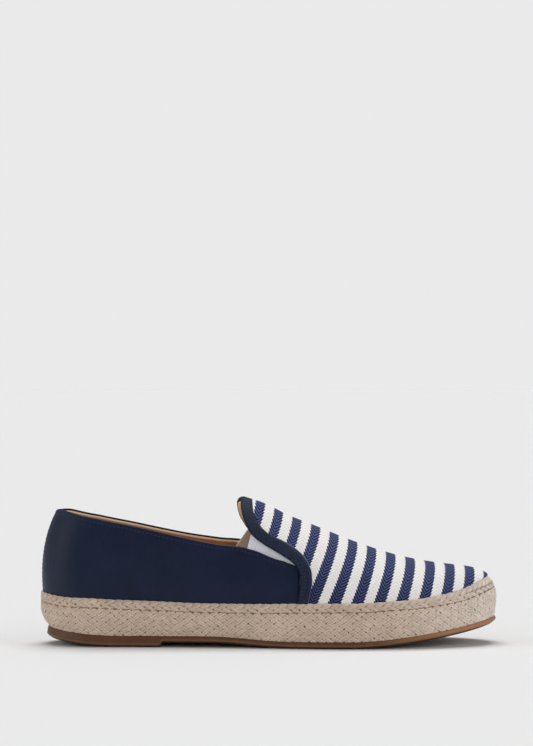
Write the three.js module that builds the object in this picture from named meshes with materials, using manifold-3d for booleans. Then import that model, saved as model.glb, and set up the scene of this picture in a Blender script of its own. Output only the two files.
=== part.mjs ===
// Slip-on espadrille, right shoe: a striped cloth vamp and plain quarters in one hollow upper, a bound
// throat edge, an elastic gore in each side, and a braided jute midsole on a thin rubber outsole with a
// low heel.
//
// Millimetres. +X runs from heel to toe, +Y to the inner side of the foot, +Z up from the floor.
// The origin is on the floor, under the middle of the sole's length and width.

import * as THREE from "three";
import { mergeVertices } from "three/addons/utils/BufferGeometryUtils.js";
import Module from "manifold-3d";

const wasm = await Module();
wasm.setup();

// Driving sizes of the sole
const SOLE_LENGTH = 288; // over the braid, heel to toe
const BALL_WIDTH = 105; // over the braid at the joints of the toes
const HEEL_WIDTH = 71; // over the braid at the seat
const HEEL_ROUND = 36; // length of the round end at the heel
const TOE_ROUND = 64; // length of the round end at the toe
const OUTSOLE_THICKNESS = 4.4;
const WAIST_LIFT = 2.7; // how far the waist stands off the floor, which is the heel's own height
const HEEL_BREAST = 77; // front face of the heel, from the back of the sole
const WAIST_FADE = 0.02; // the waist's hollow ends where it is this shallow
const HEEL_SPRING = 4.9; // rise of the sole's back edge
const TOE_SPRING = 13; // rise of the sole's tip
const BRAID_HEIGHT = 20; // jute band at the waist, from the rubber to its top edge
const BRAID_THICKNESS = 2.2; // jute rim that stands round the upper
const RIM_DEPTH = 8.5; // how far the upper is set into the midsole
const HEEL_TUCK = 5; // the braid rolls under by this much at the back of the heel
const SIDE_TUCK = 2;
const TOE_TUCK = 1.3;
const TOE_LEAN = 4.6; // the braid's top edge leans in over the toe by this much
const SIDE_LEAN = 0.7;
const GROOVE_DROP = 5.2; // stitched groove, below the band's top edge
const GROOVE_DEPTH = 0.8;
const GROOVE_WIDTH = 1.8;
const RUBBER_PROUD = 0.2; // the rubber's edge, outside the foot of the braid
const RUBBER_FLARE = 0.9; // and further out at the floor
const BRAID_TURN = 0.55; // level on the band, from foot to top edge, where it stands furthest out

// Driving sizes of the upper
const INSTEP_HEIGHT = 89; // inside the throat, above the floor
const COLLAR_HEIGHT = 84.5; // top edge at the back of the heel, above the floor
const TOE_BOX_HEIGHT = 46.5; // inside the toe, above the floor
const HEEL_LEAN = 8.2; // the counter leans forward by this much at the collar
const HEEL_BULGE = 2.2; // and swells out behind the heel
const UPPER_WALL = 2;
const INSOLE_THICKNESS = 3;
const GORE_THICKNESS = 1.2;
const GORE_SEAM = 5; // elastic hidden under the quarter and the vamp
const TRIM_THICKNESS = 1;
const TRIM_WIDTH = 8; // band along the throat edge
const TRIM_FOLD = 1; // leather turned over the throat edge
const GAP = 0.3; // clearance between pieces

// Fineness of the surfaces
const STATIONS = 40; // steps from heel to toe
const ARCH_STEPS = 14; // steps from the sole up to the ridge of the upper
const CURVE_STEPS = 28; // steps along an edge seen from the side
const ARCH_SPACING = 1.15; // over 1 sets these closer together near the sole
const WIDTH_STEPS = 400; // steps in which the sole's widest place is looked for
const SIDE_LEVELS = [0, 0.12, 0.28, 0.5]; // rings of the band below its groove, from foot to top edge
const SAME_POINT = 1e-4; // points closer than this are one

// Lengthwise landmarks, as shares of the sole's length
const HEEL_FLAT_START = 0.175;
const WAIST_END = 0.37; // the waist starts to come down to the ball here
const BALL_FLAT_START = 0.545;
const BALL_FLAT_END = 0.675;
const TOE_START = 0.8; // the braid starts to lean in here
const NOSE_START = 0.91; // the ridge of the toe box starts to round down here
const LEAN_END = 0.42; // the counter's forward lean has died out here

// Curves. 1 is a straight run, and more starts slowly and ends steeply.
const HEEL_SPRING_CURVE = 1.7;
const TOE_SPRING_CURVE = 1.65;
const HEEL_LEAN_CURVE = 3;
const BULGE_FULLNESS = 0.75; // under 1 swells more evenly over the counter's height
const END_SQUARENESS = 2.15; // 2 rounds the sole's ends as ellipses, and more makes them boxier
const NOSE_SQUARENESS = 2.6; // and so for the ridge of the toe box
const NOSE_HEIGHT = 0.3; // height left at the very tip, as a share of the toe box's

// Plan of the sole. Its half width is heel * HEEL_WIDTH + ball * BALL_WIDTH before the ends are rounded,
// and its middle line is bent to the inner side by bend * BALL_WIDTH.
const PLAN = [
  { at: 0.0, heel: 0.5, ball: 0.0, bend: 0.0 },
  { at: 0.2, heel: 0.505, ball: 0.0, bend: -0.004 },
  { at: 0.3, heel: 0.41, ball: 0.062, bend: -0.022 },
  { at: 0.4, heel: 0.26, ball: 0.17, bend: -0.045 },
  { at: 0.5, heel: 0.13, ball: 0.295, bend: -0.056 },
  { at: 0.6, heel: 0.03, ball: 0.415, bend: -0.052 },
  { at: 0.68, heel: 0.0, ball: 0.472, bend: -0.027 },
  { at: 0.74, heel: 0.0, ball: 0.486, bend: 0.0 },
  { at: 0.82, heel: 0.0, ball: 0.463, bend: 0.028 },
  { at: 0.9, heel: 0.0, ball: 0.435, bend: 0.051 },
  { at: 1.0, heel: 0.0, ball: 0.395, bend: 0.066 },
];

// Height of the jute band above the waist's rubber, less the spring, as a share of BRAID_HEIGHT.
const BAND = [
  { at: 0.0, height: 1.03 },
  { at: 0.04, height: 1.035 },
  { at: 0.13, height: 1.105 },
  { at: 0.26, height: 1.05 },
  { at: 0.35, height: 1.0 },
  { at: 0.46, height: 0.99 },
  { at: 0.57, height: 1.02 },
  { at: 0.66, height: 1.03 },
  { at: 0.743, height: 1.02 },
  { at: 0.83, height: 0.955 },
  { at: 0.92, height: 0.915 },
  { at: 0.96, height: 0.97 },
  { at: 1.0, height: 1.03 },
];

// Sections of the last. The ridge is its highest line: its height is instep * INSTEP_HEIGHT + toe *
// TOE_BOX_HEIGHT, and ridge is its place across the section, from the outer side (0) to the inner side (1).
// square is 2 for a section that is half an ellipse, and more for a boxier one.
const LAST = [
  { at: 0.0, instep: 1.24, toe: 0.0, ridge: 0.5, square: 2.5 },
  { at: 0.15, instep: 1.25, toe: 0.0, ridge: 0.5, square: 2.4 },
  { at: 0.3, instep: 1.18, toe: 0.0, ridge: 0.52, square: 2.2 },
  { at: 0.38, instep: 1.09, toe: 0.0, ridge: 0.54, square: 2.1 },
  { at: 0.45, instep: 0.995, toe: 0.0, ridge: 0.56, square: 2.0 },
  { at: 0.525, instep: 0.918, toe: 0.0, ridge: 0.57, square: 2.0 },
  { at: 0.612, instep: 0.6, toe: 0.39, ridge: 0.565, square: 2.0 },
  { at: 0.7, instep: 0.33, toe: 0.69, ridge: 0.555, square: 2.05 },
  { at: 0.787, instep: 0.12, toe: 0.92, ridge: 0.54, square: 2.15 },
  { at: 0.875, instep: 0.03, toe: 0.985, ridge: 0.525, square: 2.3 },
  { at: 0.95, instep: 0.0, toe: 1.0, ridge: 0.51, square: 2.4 },
  { at: 1.0, instep: 0.0, toe: 0.99, ridge: 0.5, square: 2.4 },
];

// Top edge of the quarters: its height is collar * COLLAR_HEIGHT + instep * INSTEP_HEIGHT, and on the inner
// side it stands higher by inner * INSTEP_HEIGHT.
const TOPLINE = [
  { at: -0.1, collar: 1.0, instep: 0.0, inner: 0.0 },
  { at: 0.05, collar: 0.999, instep: 0.0, inner: 0.0 },
  { at: 0.085, collar: 0.973, instep: 0.0, inner: 0.0 },
  { at: 0.13, collar: 0.92, instep: 0.019, inner: 0.0 },
  { at: 0.217, collar: 0.78, instep: 0.095, inner: 0.0 },
  { at: 0.3, collar: 0.6, instep: 0.205, inner: 0.006 },
  { at: 0.39, collar: 0.34, instep: 0.394, inner: 0.021 },
  { at: 0.447, collar: 0.17, instep: 0.534, inner: 0.025 },
  { at: 0.48, collar: 0.09, instep: 0.579, inner: 0.023 },
  { at: 0.524, collar: 0.02, instep: 0.592, inner: 0.02 },
  { at: 0.566, collar: 0.0, instep: 0.567, inner: 0.014 },
  { at: 0.62, collar: 0.0, instep: 0.54, inner: 0.01 },
];

// Rear edge of the trim, from below the sole's rim up to the middle of the throat. height is a share of
// INSTEP_HEIGHT, and band is the trim's width there as a share of TRIM_WIDTH.
const THROAT = [
  { at: 0.558, height: 0.2, band: 0.86 },
  { at: 0.561, height: 0.3, band: 0.87 },
  { at: 0.565, height: 0.38, band: 0.9 },
  { at: 0.5675, height: 0.46, band: 0.94 },
  { at: 0.5655, height: 0.53, band: 0.97 },
  { at: 0.5545, height: 0.585, band: 1.0 },
  { at: 0.526, height: 0.651, band: 1.0 },
  { at: 0.4935, height: 0.708, band: 1.0 },
  { at: 0.4665, height: 0.775, band: 1.0 },
  { at: 0.449, height: 0.853, band: 1.03 },
  { at: 0.4375, height: 0.925, band: 1.05 },
  { at: 0.437, height: 0.975, band: 1.02 },
  { at: 0.447, height: 1.035, band: 0.76 },
  { at: 0.452, height: 1.08, band: 0.68 },
];
const GORE_REAR = 0.458; // free edge of the elastic, at the quarter's top edge
const GORE_SLANT = 0.14; // its forward run for each millimetre up

const clamp01 = (t) => Math.min(1, Math.max(0, t));
const mix = (a, b, t) => a + (b - a) * t;
const ease = (t) => clamp01(t) ** 2 * (3 - 2 * clamp01(t));

// A smooth reading of one column of a table, with no overshoot between its rows.
function column(rows, key, by = "at") {
  const x = rows.map((row) => row[by]);
  const y = rows.map((row) => row[key]);
  const last = rows.length - 1;
  const slope = x.slice(1).map((x1, i) => (y[i + 1] - y[i]) / (x1 - x[i]));
  const tangent = x.map((_, i) => {
    if (i === 0) return slope[0];
    if (i === last) return slope[last - 1];
    return slope[i - 1] * slope[i] <= 0 ? 0 : (2 * slope[i - 1] * slope[i]) / (slope[i - 1] + slope[i]);
  });
  return (at) => {
    const t = Math.min(x[last], Math.max(x[0], at));
    let i = 0;
    while (i < last - 1 && t > x[i + 1]) i += 1;
    const width = x[i + 1] - x[i];
    const s = (t - x[i]) / width;
    return (
      y[i] * (1 + 2 * s) * (1 - s) ** 2 +
      tangent[i] * width * s * (1 - s) ** 2 +
      y[i + 1] * s * s * (3 - 2 * s) +
      tangent[i + 1] * width * s * s * (s - 1)
    );
  };
}

const planHeel = column(PLAN, "heel");
const planBall = column(PLAN, "ball");
const planBend = column(PLAN, "bend");
const bandHeight = column(BAND, "height");
const ridgeInstep = column(LAST, "instep");
const ridgeToe = column(LAST, "toe");
const ridgeAcross = column(LAST, "ridge");
const sectionSquare = column(LAST, "square");

// Share of the sole's length at a station: close together at the round ends.
const stationShare = (k) => (1 - Math.cos((Math.PI * k) / STATIONS)) / 2;

// How much of its full width the sole keeps at a distance from the back, which rounds its ends.
function roundEnds(fromBack) {
  const heel = clamp01(1 - fromBack / HEEL_ROUND);
  const toe = clamp01(1 - (SOLE_LENGTH - fromBack) / TOE_ROUND);
  return ((1 - heel ** END_SQUARENESS) * (1 - toe ** END_SQUARENESS)) ** (1 / END_SQUARENESS);
}

// Distances from the back of the sole, and the sole's two edges across it.
function soleEdge(share, side) {
  const half = (planHeel(share) * HEEL_WIDTH + planBall(share) * BALL_WIDTH) * roundEnds(share * SOLE_LENGTH);
  return planBend(share) * BALL_WIDTH + side * half;
}

// The sole's widest reach on each side sets where the middle of its width is.
const finely = Array.from({ length: WIDTH_STEPS + 1 }, (_, i) => i / WIDTH_STEPS);
const OUTER_REACH = Math.min(...finely.map((share) => soleEdge(share, -1)));
const INNER_REACH = Math.max(...finely.map((share) => soleEdge(share, 1)));
const MIDDLE_X = SOLE_LENGTH / 2;
const MIDDLE_Y = (OUTER_REACH + INNER_REACH) / 2;

// The sole's outline as a loop: up the outer side from heel to toe, and back down the inner side.
const LOOP = 2 * STATIONS;
const mirrored = (i) => (LOOP - i) % LOOP;
const outline = Array.from({ length: LOOP }, (_, i) => {
  const side = i <= STATIONS ? -1 : 1;
  const share = stationShare(side < 0 ? i : LOOP - i);
  return new THREE.Vector2(share * SOLE_LENGTH - MIDDLE_X, soleEdge(share, side) - MIDDLE_Y);
});

// The outline moved outwards by a margin that may change along it.
function offsetOutline(margin) {
  return outline.map((point, i) => {
    const along = outline[(i + 1) % LOOP].clone().sub(outline[(i + LOOP - 1) % LOOP]).normalize();
    const out = new THREE.Vector2(along.y, -along.x);
    return point.clone().addScaledVector(out, margin(shareAt(point.x)));
  });
}

const shareAt = (x) => clamp01((x + MIDDLE_X) / SOLE_LENGTH);

// Heights of the sole's layers above the floor, by share of its length
function spring(share) {
  const heel = clamp01(1 - share / HEEL_FLAT_START) ** HEEL_SPRING_CURVE;
  const toe = clamp01((share - BALL_FLAT_END) / (1 - BALL_FLAT_END)) ** TOE_SPRING_CURVE;
  return HEEL_SPRING * heel + TOE_SPRING * toe;
}

const waist = (share) => WAIST_LIFT * ease((BALL_FLAT_START - share) / (BALL_FLAT_START - WAIST_END));
const outsoleUnder = (share) => spring(share) + waist(share);
const outsoleTop = (share) => outsoleUnder(share) + OUTSOLE_THICKNESS;
const braidFoot = (share) => outsoleTop(share) + GAP;
const rimTop = (share) => OUTSOLE_THICKNESS + WAIST_LIFT + spring(share) + bandHeight(share) * BRAID_HEIGHT;
const seat = (share) => rimTop(share) - RIM_DEPTH;

// Side face of the jute band: rolled under at its foot, and leaning in at its top edge.
function braidMargin(share, level) {
  const heelness = ease(1 - share / (HEEL_ROUND / SOLE_LENGTH));
  const toeness = ease((share - TOE_START) / (1 - TOE_START));
  const foot = mix(mix(SIDE_TUCK, HEEL_TUCK, heelness), TOE_TUCK, toeness);
  const tuck = foot * clamp01(1 - level / BRAID_TURN) ** 2;
  const above = clamp01((level - BRAID_TURN) / (1 - BRAID_TURN));
  const lean = mix(SIDE_LEAN * (1 - heelness), TOE_LEAN, toeness) * above ** 2;
  return -tuck - lean;
}

const braidFootMargin = (share) => braidMargin(share, 0);

// Builds a solid from closed rings of points, each as long as LOOP. The first ring is capped, and so is
// the last one unless its two sides meet in a line.
function solidOfRings(rings, closesInLine = false) {
  const top = rings[rings.length - 1];
  const last = closesInLine ? top.map((_, i) => top[Math.min(i, mirrored(i))]) : top;
  const position = [...rings.slice(0, -1), last].flat().flatMap((p) => [p.x, p.y, p.z]);
  const index = [];
  for (let r = 0; r + 1 < rings.length; r += 1) {
    for (let i = 0; i < LOOP; i += 1) {
      const a = r * LOOP + i;
      const b = r * LOOP + ((i + 1) % LOOP);
      index.push(a, b, b + LOOP, a, b + LOOP, a + LOOP);
    }
  }
  const cap = (start, upwards) => {
    for (let k = 0; k < STATIONS; k += 1) {
      const [a, b] = [start + k, start + k + 1];
      const [c, d] = [start + mirrored(k + 1), start + mirrored(k)];
      const faces = upwards ? [a, b, c, a, c, d] : [a, c, b, a, d, c];
      index.push(...faces);
    }
  };
  cap(0, false);
  if (!closesInLine) cap((rings.length - 1) * LOOP, true);
  const geometry = new THREE.BufferGeometry();
  geometry.setAttribute("position", new THREE.Float32BufferAttribute(position, 3));
  geometry.setIndex(index);
  return solidOf(geometry);
}

// A closed geometry as a solid that can be cut and joined.
function solidOf(geometry) {
  const bare = geometry.clone();
  bare.deleteAttribute("normal");
  bare.deleteAttribute("uv");
  const merged = mergeVertices(bare, SAME_POINT);
  const index = Array.from(merged.index.array);
  const triVerts = [];
  for (let t = 0; t < index.length; t += 3) {
    const [a, b, c] = index.slice(t, t + 3);
    if (a !== b && b !== c && c !== a) triVerts.push(a, b, c);
  }
  return new wasm.Manifold(
    new wasm.Mesh({
      numProp: 3,
      vertProperties: new Float32Array(merged.attributes.position.array),
      triVerts: new Uint32Array(triVerts),
    }),
  );
}

// A solid as a named mesh.
function meshOf(name, solid, colour, roughness) {
  const { vertProperties, triVerts } = solid.getMesh();
  const geometry = new THREE.BufferGeometry();
  geometry.setAttribute("position", new THREE.BufferAttribute(new Float32Array(vertProperties), 3));
  geometry.setIndex(new THREE.BufferAttribute(new Uint32Array(triVerts), 1));
  geometry.computeVertexNormals();
  const material = new THREE.MeshStandardMaterial({ color: colour, roughness, metalness: 0 });
  const mesh = new THREE.Mesh(geometry, material);
  mesh.name = name;
  return mesh;
}

// A ring of the sole: an offset outline at a height that follows the length.
const soleRing = (margin, height) =>
  offsetOutline(margin).map((p) => new THREE.Vector3(p.x, p.y, height(shareAt(p.x))));

// A block seen from the side, as points of distance from the middle and height, cut between two widths.
function sideBlock(points, fromY, toY) {
  const geometry = new THREE.ExtrudeGeometry(new THREE.Shape(points), {
    depth: toY - fromY,
    bevelEnabled: false,
  });
  geometry.rotateX(Math.PI / 2);
  geometry.translate(0, toY, 0);
  return solidOf(geometry);
}

// The counter's place at the back of the heel, by height: swelling out low down, and leaning in above.
function heelSetback(height) {
  const up = (height - seat(0)) / (COLLAR_HEIGHT - seat(0));
  const bulge = HEEL_BULGE * Math.sin(Math.PI * clamp01(up)) ** BULGE_FULLNESS;
  return HEEL_LEAN * Math.max(0, up) ** HEEL_LEAN_CURVE - bulge;
}

// Height of the last's ridge, rounded down to a low nose at the tip.
function ridgeHeight(share) {
  const full = ridgeInstep(share) * INSTEP_HEIGHT + ridgeToe(share) * TOE_BOX_HEIGHT;
  const towardsTip = clamp01((share - NOSE_START) / (1 - NOSE_START));
  const rounded = (1 - towardsTip ** NOSE_SQUARENESS) ** (1 / NOSE_SQUARENESS);
  return mix(seat(share), full, NOSE_HEIGHT + (1 - NOSE_HEIGHT) * rounded);
}

// The last, as rings of points from its bottom edge up to its ridge.
const LAST_INSET = BRAID_THICKNESS + GAP + UPPER_WALL;
const lastFoot = offsetOutline(() => -LAST_INSET);
const lastTip = shareAt(lastFoot[STATIONS].x);
const lastRings = Array.from({ length: ARCH_STEPS + 1 }, (_, j) => {
  const climb = (Math.PI / 2) * (j / ARCH_STEPS) ** ARCH_SPACING;
  return lastFoot.map((foot, i) => {
    const [outer, inner] = i <= STATIONS ? [foot, lastFoot[mirrored(i)]] : [lastFoot[mirrored(i)], foot];
    const ridge = outer.clone().lerp(inner, 0.5);
    const share = shareAt(ridge.x) / lastTip;
    ridge.copy(outer).lerp(inner, ridgeAcross(share));
    const power = 2 / sectionSquare(share);
    const plan = ridge.clone().lerp(foot, Math.max(0, Math.cos(climb)) ** power);
    const height = mix(seat(shareAt(foot.x)), ridgeHeight(share), Math.sin(climb) ** power);
    const leaning = ease(1 - share / LEAN_END);
    return new THREE.Vector3(plan.x + heelSetback(height) * leaning, plan.y, height);
  });
});

// Outward directions at the points of the last.
const lastNormals = lastRings.map((ring, j) =>
  ring.map((point, i) => {
    const along = ring[(i + 1) % LOOP].clone().sub(ring[(i + LOOP - 1) % LOOP]);
    const below = lastRings[Math.max(0, j - 1)][i];
    const beyond = j < ARCH_STEPS ? lastRings[j + 1][i] : lastRings[j - 1][mirrored(i)];
    const atEnd = i % STATIONS === 0;
    const up = j === ARCH_STEPS && atEnd ? point.clone().sub(below) : beyond.clone().sub(below);
    if (j === 0) up.set(0, 0, 1);
    return along.cross(up).normalize();
  }),
);

// The last grown by a thickness, reaching down to a depth below the seat.
function lastGrown(thickness, depth = 0) {
  const rings = lastRings.map((ring, j) =>
    ring.map((point, i) => point.clone().addScaledVector(lastNormals[j][i], thickness)),
  );
  const foot = rings[0].map((p) => new THREE.Vector3(p.x, p.y, p.z - depth));
  return solidOfRings([foot, ...(depth === 0 ? rings.slice(1) : rings)], true);
}

// Edges seen from the side, as points of distance from the middle and height
const sidePoint = (share, height) => new THREE.Vector2(share * SOLE_LENGTH - MIDDLE_X, height);
const toplineCollar = column(TOPLINE, "collar");
const toplineInstep = column(TOPLINE, "instep");
const toplineInner = column(TOPLINE, "inner");
const throatAt = column(THROAT, "at", "height");
const throatBand = column(THROAT, "band", "height");

const SIDES = [
  { name: "outer", innerness: 0, fromY: -BALL_WIDTH, toY: GAP },
  { name: "inner", innerness: 1, fromY: -GAP, toY: BALL_WIDTH },
];
const ABOVE = 2 * INSTEP_HEIGHT; // higher than anything in the shoe
const BEHIND = -SOLE_LENGTH; // further back than anything in the shoe
const AHEAD = SOLE_LENGTH; // further forward than anything in the shoe

function toplineHeight(share, side) {
  const instep = toplineInstep(share) + side.innerness * toplineInner(share);
  return toplineCollar(share) * COLLAR_HEIGHT + instep * INSTEP_HEIGHT;
}

// The throat edge, from a height up to the middle of the throat, moved forwards into the vamp.
function throatEdge(fromHeight, forward) {
  const top = THROAT[THROAT.length - 1].height;
  const edge = Array.from({ length: CURVE_STEPS + 1 }, (_, i) => {
    const height = mix(fromHeight, top, i / CURVE_STEPS);
    return { point: sidePoint(throatAt(height), height * INSTEP_HEIGHT), height };
  });
  return edge.map(({ point, height }, i) => {
    const before = edge[Math.max(0, i - 1)].point;
    const after = edge[Math.min(CURVE_STEPS, i + 1)].point;
    const along = after.clone().sub(before).normalize();
    return point.clone().addScaledVector(new THREE.Vector2(along.y, -along.x), forward(height));
  });
}

// All that is above a quarter's top edge, or above a line a little below it.
function aboveTopline(side, lowered) {
  const [first, last] = [TOPLINE[0].at, TOPLINE[TOPLINE.length - 1].at];
  const edge = Array.from({ length: CURVE_STEPS + 1 }, (_, i) => {
    const share = mix(first, last, i / CURVE_STEPS);
    return sidePoint(share, toplineHeight(share, side) - lowered);
  });
  const roof = [new THREE.Vector2(edge[CURVE_STEPS].x, ABOVE), new THREE.Vector2(edge[0].x, ABOVE)];
  return sideBlock([...edge, ...roof], side.fromY, side.toY);
}

// All that is behind the vamp's throat edge, or behind a line a little in front of it.
function behindThroat(forward) {
  const edge = throatEdge(THROAT[0].height, () => forward);
  const roof = [new THREE.Vector2(edge[CURVE_STEPS].x, ABOVE), new THREE.Vector2(BEHIND, ABOVE)];
  return sideBlock([new THREE.Vector2(BEHIND, edge[0].y), ...edge, ...roof], -BALL_WIDTH, BALL_WIDTH);
}

// A slab between two heights that follow the length, wider all round than the shoe.
function slab(under, over) {
  const beyond = () => SOLE_LENGTH / 8;
  return solidOfRings([soleRing(beyond, under), soleRing(beyond, over)]);
}

function makeOutsole() {
  const edge = (share) => braidFootMargin(share) + RUBBER_PROUD;
  const flared = (share) => edge(share) + RUBBER_FLARE;
  const block = solidOfRings([soleRing(flared, spring), soleRing(edge, outsoleTop)]);
  const breast = HEEL_BREAST - MIDDLE_X;
  const inFrontOfHeel = sideBlock(
    [
      new THREE.Vector2(breast, -ABOVE),
      new THREE.Vector2(AHEAD, -ABOVE),
      new THREE.Vector2(AHEAD, ABOVE),
      new THREE.Vector2(breast, ABOVE),
    ],
    -BALL_WIDTH,
    BALL_WIDTH,
  );
  const underWaist = slab(() => -ABOVE, (share) => outsoleUnder(share) - WAIST_FADE);
  return block.subtract(underWaist.intersect(inFrontOfHeel));
}

function makeMidsole() {
  const bandAt = (level) => (share) => mix(braidFoot(share), rimTop(share), level);
  const plain = SIDE_LEVELS.map((level) =>
    soleRing((share) => braidMargin(share, level), bandAt(level)),
  );
  const grooved = [
    { drop: GROOVE_DROP + GROOVE_WIDTH / 2, sunk: 0 },
    { drop: GROOVE_DROP, sunk: GROOVE_DEPTH },
    { drop: GROOVE_DROP - GROOVE_WIDTH / 2, sunk: 0 },
    { drop: BRAID_THICKNESS / 2, sunk: 0 },
    { drop: 0, sunk: BRAID_THICKNESS / 4 },
  ].map(({ drop, sunk }) => {
    const height = (share) => rimTop(share) - drop;
    const level = (share) => (height(share) - braidFoot(share)) / (rimTop(share) - braidFoot(share));
    return soleRing((share) => braidMargin(share, level(share)) - sunk, height);
  });
  return solidOfRings([...plain, ...grooved]).subtract(lastGrown(UPPER_WALL + GAP));
}

function makeInsole() {
  const under = (share) => seat(share) + GAP;
  const over = (share) => under(share) + INSOLE_THICKNESS;
  const block = solidOfRings([soleRing(() => 0, under), soleRing(() => 0, over)]);
  return block.intersect(lastGrown(-GAP, INSTEP_HEIGHT));
}

function makeUpper() {
  const shell = lastGrown(UPPER_WALL).subtract(lastGrown(0, INSTEP_HEIGHT));
  const standing = shell.subtract(slab(() => -ABOVE, (share) => seat(share) + GAP));
  const behind = behindThroat(TRIM_FOLD + GAP);
  return SIDES.reduce((upper, side) => upper.subtract(aboveTopline(side, 0).intersect(behind)), standing);
}

function makeTrim() {
  const over = UPPER_WALL + GAP;
  const foot = THROAT[0].height;
  const rear = throatEdge(foot, () => 0);
  const front = throatEdge(foot, (height) => throatBand(height) * TRIM_WIDTH);
  const band = sideBlock([...rear, ...front.reverse()], -BALL_WIDTH, BALL_WIDTH);
  const overlay = lastGrown(over + TRIM_THICKNESS).subtract(lastGrown(over)).intersect(band);
  const aboveRim = overlay.subtract(slab(() => -ABOVE, (share) => rimTop(share) + GAP));
  const fold = throatEdge(foot, () => TRIM_FOLD);
  const lip = sideBlock([...rear, ...fold.reverse()], -BALL_WIDTH, BALL_WIDTH);
  const wrap = lastGrown(over + TRIM_THICKNESS).subtract(lastGrown(0)).intersect(lip);
  return SIDES.reduce((trim, side) => trim.add(wrap.intersect(aboveTopline(side, -GAP))), aboveRim);
}

// An elastic gore lies inside the wall, behind the wedge between a quarter and the vamp.
function makeGore(side) {
  const rear = sidePoint(GORE_REAR, toplineHeight(GORE_REAR, side));
  const inFront = sideBlock(
    [
      new THREE.Vector2(rear.x - GORE_SLANT * (ABOVE + rear.y), -ABOVE),
      new THREE.Vector2(AHEAD, -ABOVE),
      new THREE.Vector2(AHEAD, ABOVE),
      new THREE.Vector2(rear.x + GORE_SLANT * (ABOVE - rear.y), ABOVE),
    ],
    side.fromY,
    side.toY,
  );
  const wedge = aboveTopline(side, GORE_SEAM).intersect(behindThroat(GORE_SEAM)).intersect(inFront);
  return lastGrown(-GAP).subtract(lastGrown(-GAP - GORE_THICKNESS)).intersect(wedge);
}

const shoe = new THREE.Group();
shoe.name = "espadrille";
shoe.add(meshOf("outsole", makeOutsole(), 0x7a4f30, 0.55));
shoe.add(meshOf("jute_midsole", makeMidsole(), 0xc3aa93, 0.95));
shoe.add(meshOf("insole", makeInsole(), 0xc08a5a, 0.6));
shoe.add(meshOf("upper", makeUpper(), 0x1f2740, 0.6));
shoe.add(meshOf("vamp_trim", makeTrim(), 0x1c2336, 0.6));
SIDES.forEach((side) => shoe.add(meshOf(`gore_${side.name}`, makeGore(side), 0xd9dce4, 0.85)));

export default shoe;
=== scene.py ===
"""Finished pieces of a slip-on espadrille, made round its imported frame: leather quarters, a striped cloth
vamp, a bound throat edge, elastic gores, a braided jute midsole and a rubber outsole."""

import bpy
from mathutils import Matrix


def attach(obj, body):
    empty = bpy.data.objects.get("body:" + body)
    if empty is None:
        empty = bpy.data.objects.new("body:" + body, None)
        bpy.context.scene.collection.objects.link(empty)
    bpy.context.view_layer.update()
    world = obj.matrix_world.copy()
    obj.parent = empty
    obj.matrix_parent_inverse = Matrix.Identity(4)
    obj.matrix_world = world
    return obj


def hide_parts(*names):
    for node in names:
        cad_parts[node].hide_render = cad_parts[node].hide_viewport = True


bl_info = {
    "name": "Espadrille",
    "version": (1, 0, 0),
    "blender": (4, 5, 0),
    "location": "View3D > Sidebar > Espadrille",
    "description": "Makes the finished pieces of a slip-on espadrille round its packed frame",
    "category": "Object",
}

import math

import bmesh
import bpy
import numpy as np
from bpy.props import FloatProperty, FloatVectorProperty, PointerProperty
from mathutils import Matrix, Vector
from mathutils.bvhtree import BVHTree

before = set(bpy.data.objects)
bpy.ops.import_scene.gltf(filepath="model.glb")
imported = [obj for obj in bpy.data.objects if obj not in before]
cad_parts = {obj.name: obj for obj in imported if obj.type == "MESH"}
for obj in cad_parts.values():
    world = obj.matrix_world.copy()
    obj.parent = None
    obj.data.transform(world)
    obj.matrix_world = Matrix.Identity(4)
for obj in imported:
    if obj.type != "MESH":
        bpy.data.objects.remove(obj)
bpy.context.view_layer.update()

# Everything below is worked out in millimetres, and laid in metres.
MM = 0.001

# Sizes of the shoe, as packed
SOLE_LENGTH = 288
BALL_WIDTH = 105
HEEL_WIDTH = 71
HEEL_ROUND = 36
TOE_ROUND = 64
OUTSOLE_THICKNESS = 4.4
WAIST_LIFT = 2.7
HEEL_BREAST = 77
HEEL_SPRING = 4.9
TOE_SPRING = 13
BRAID_HEIGHT = 20
BRAID_THICKNESS = 2.2
RIM_DEPTH = 8.5
HEEL_TUCK = 5
SIDE_TUCK = 2
TOE_TUCK = 1.3
TOE_LEAN = 4.6
SIDE_LEAN = 0.7
GROOVE_DROP = 5.2
RUBBER_PROUD = 0.2
RUBBER_FLARE = 0.9
INSTEP_HEIGHT = 89
COLLAR_HEIGHT = 84.5
TOE_BOX_HEIGHT = 46.5
HEEL_LEAN = 8.2
HEEL_BULGE = 2.2
UPPER_WALL = 2
INSOLE_THICKNESS = 3
GORE_SEAM = 5
GAP = 0.3
STATIONS = 40
HEEL_FLAT_START = 0.175
WAIST_END = 0.37
BALL_FLAT_START = 0.545
BALL_FLAT_END = 0.675
TOE_START = 0.8
NOSE_START = 0.91
LEAN_END = 0.42
LAST_INSET = BRAID_THICKNESS + GAP + UPPER_WALL
NEAR_GORE_REAR = 0.453
NEAR_GORE_SLANT = 0.27
FAR_GORE_REAR = 0.4375
FAR_GORE_SLANT = 0.68
INNER_LAG = 2.5  # the throat edge lies this much further back on the inner side

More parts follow.
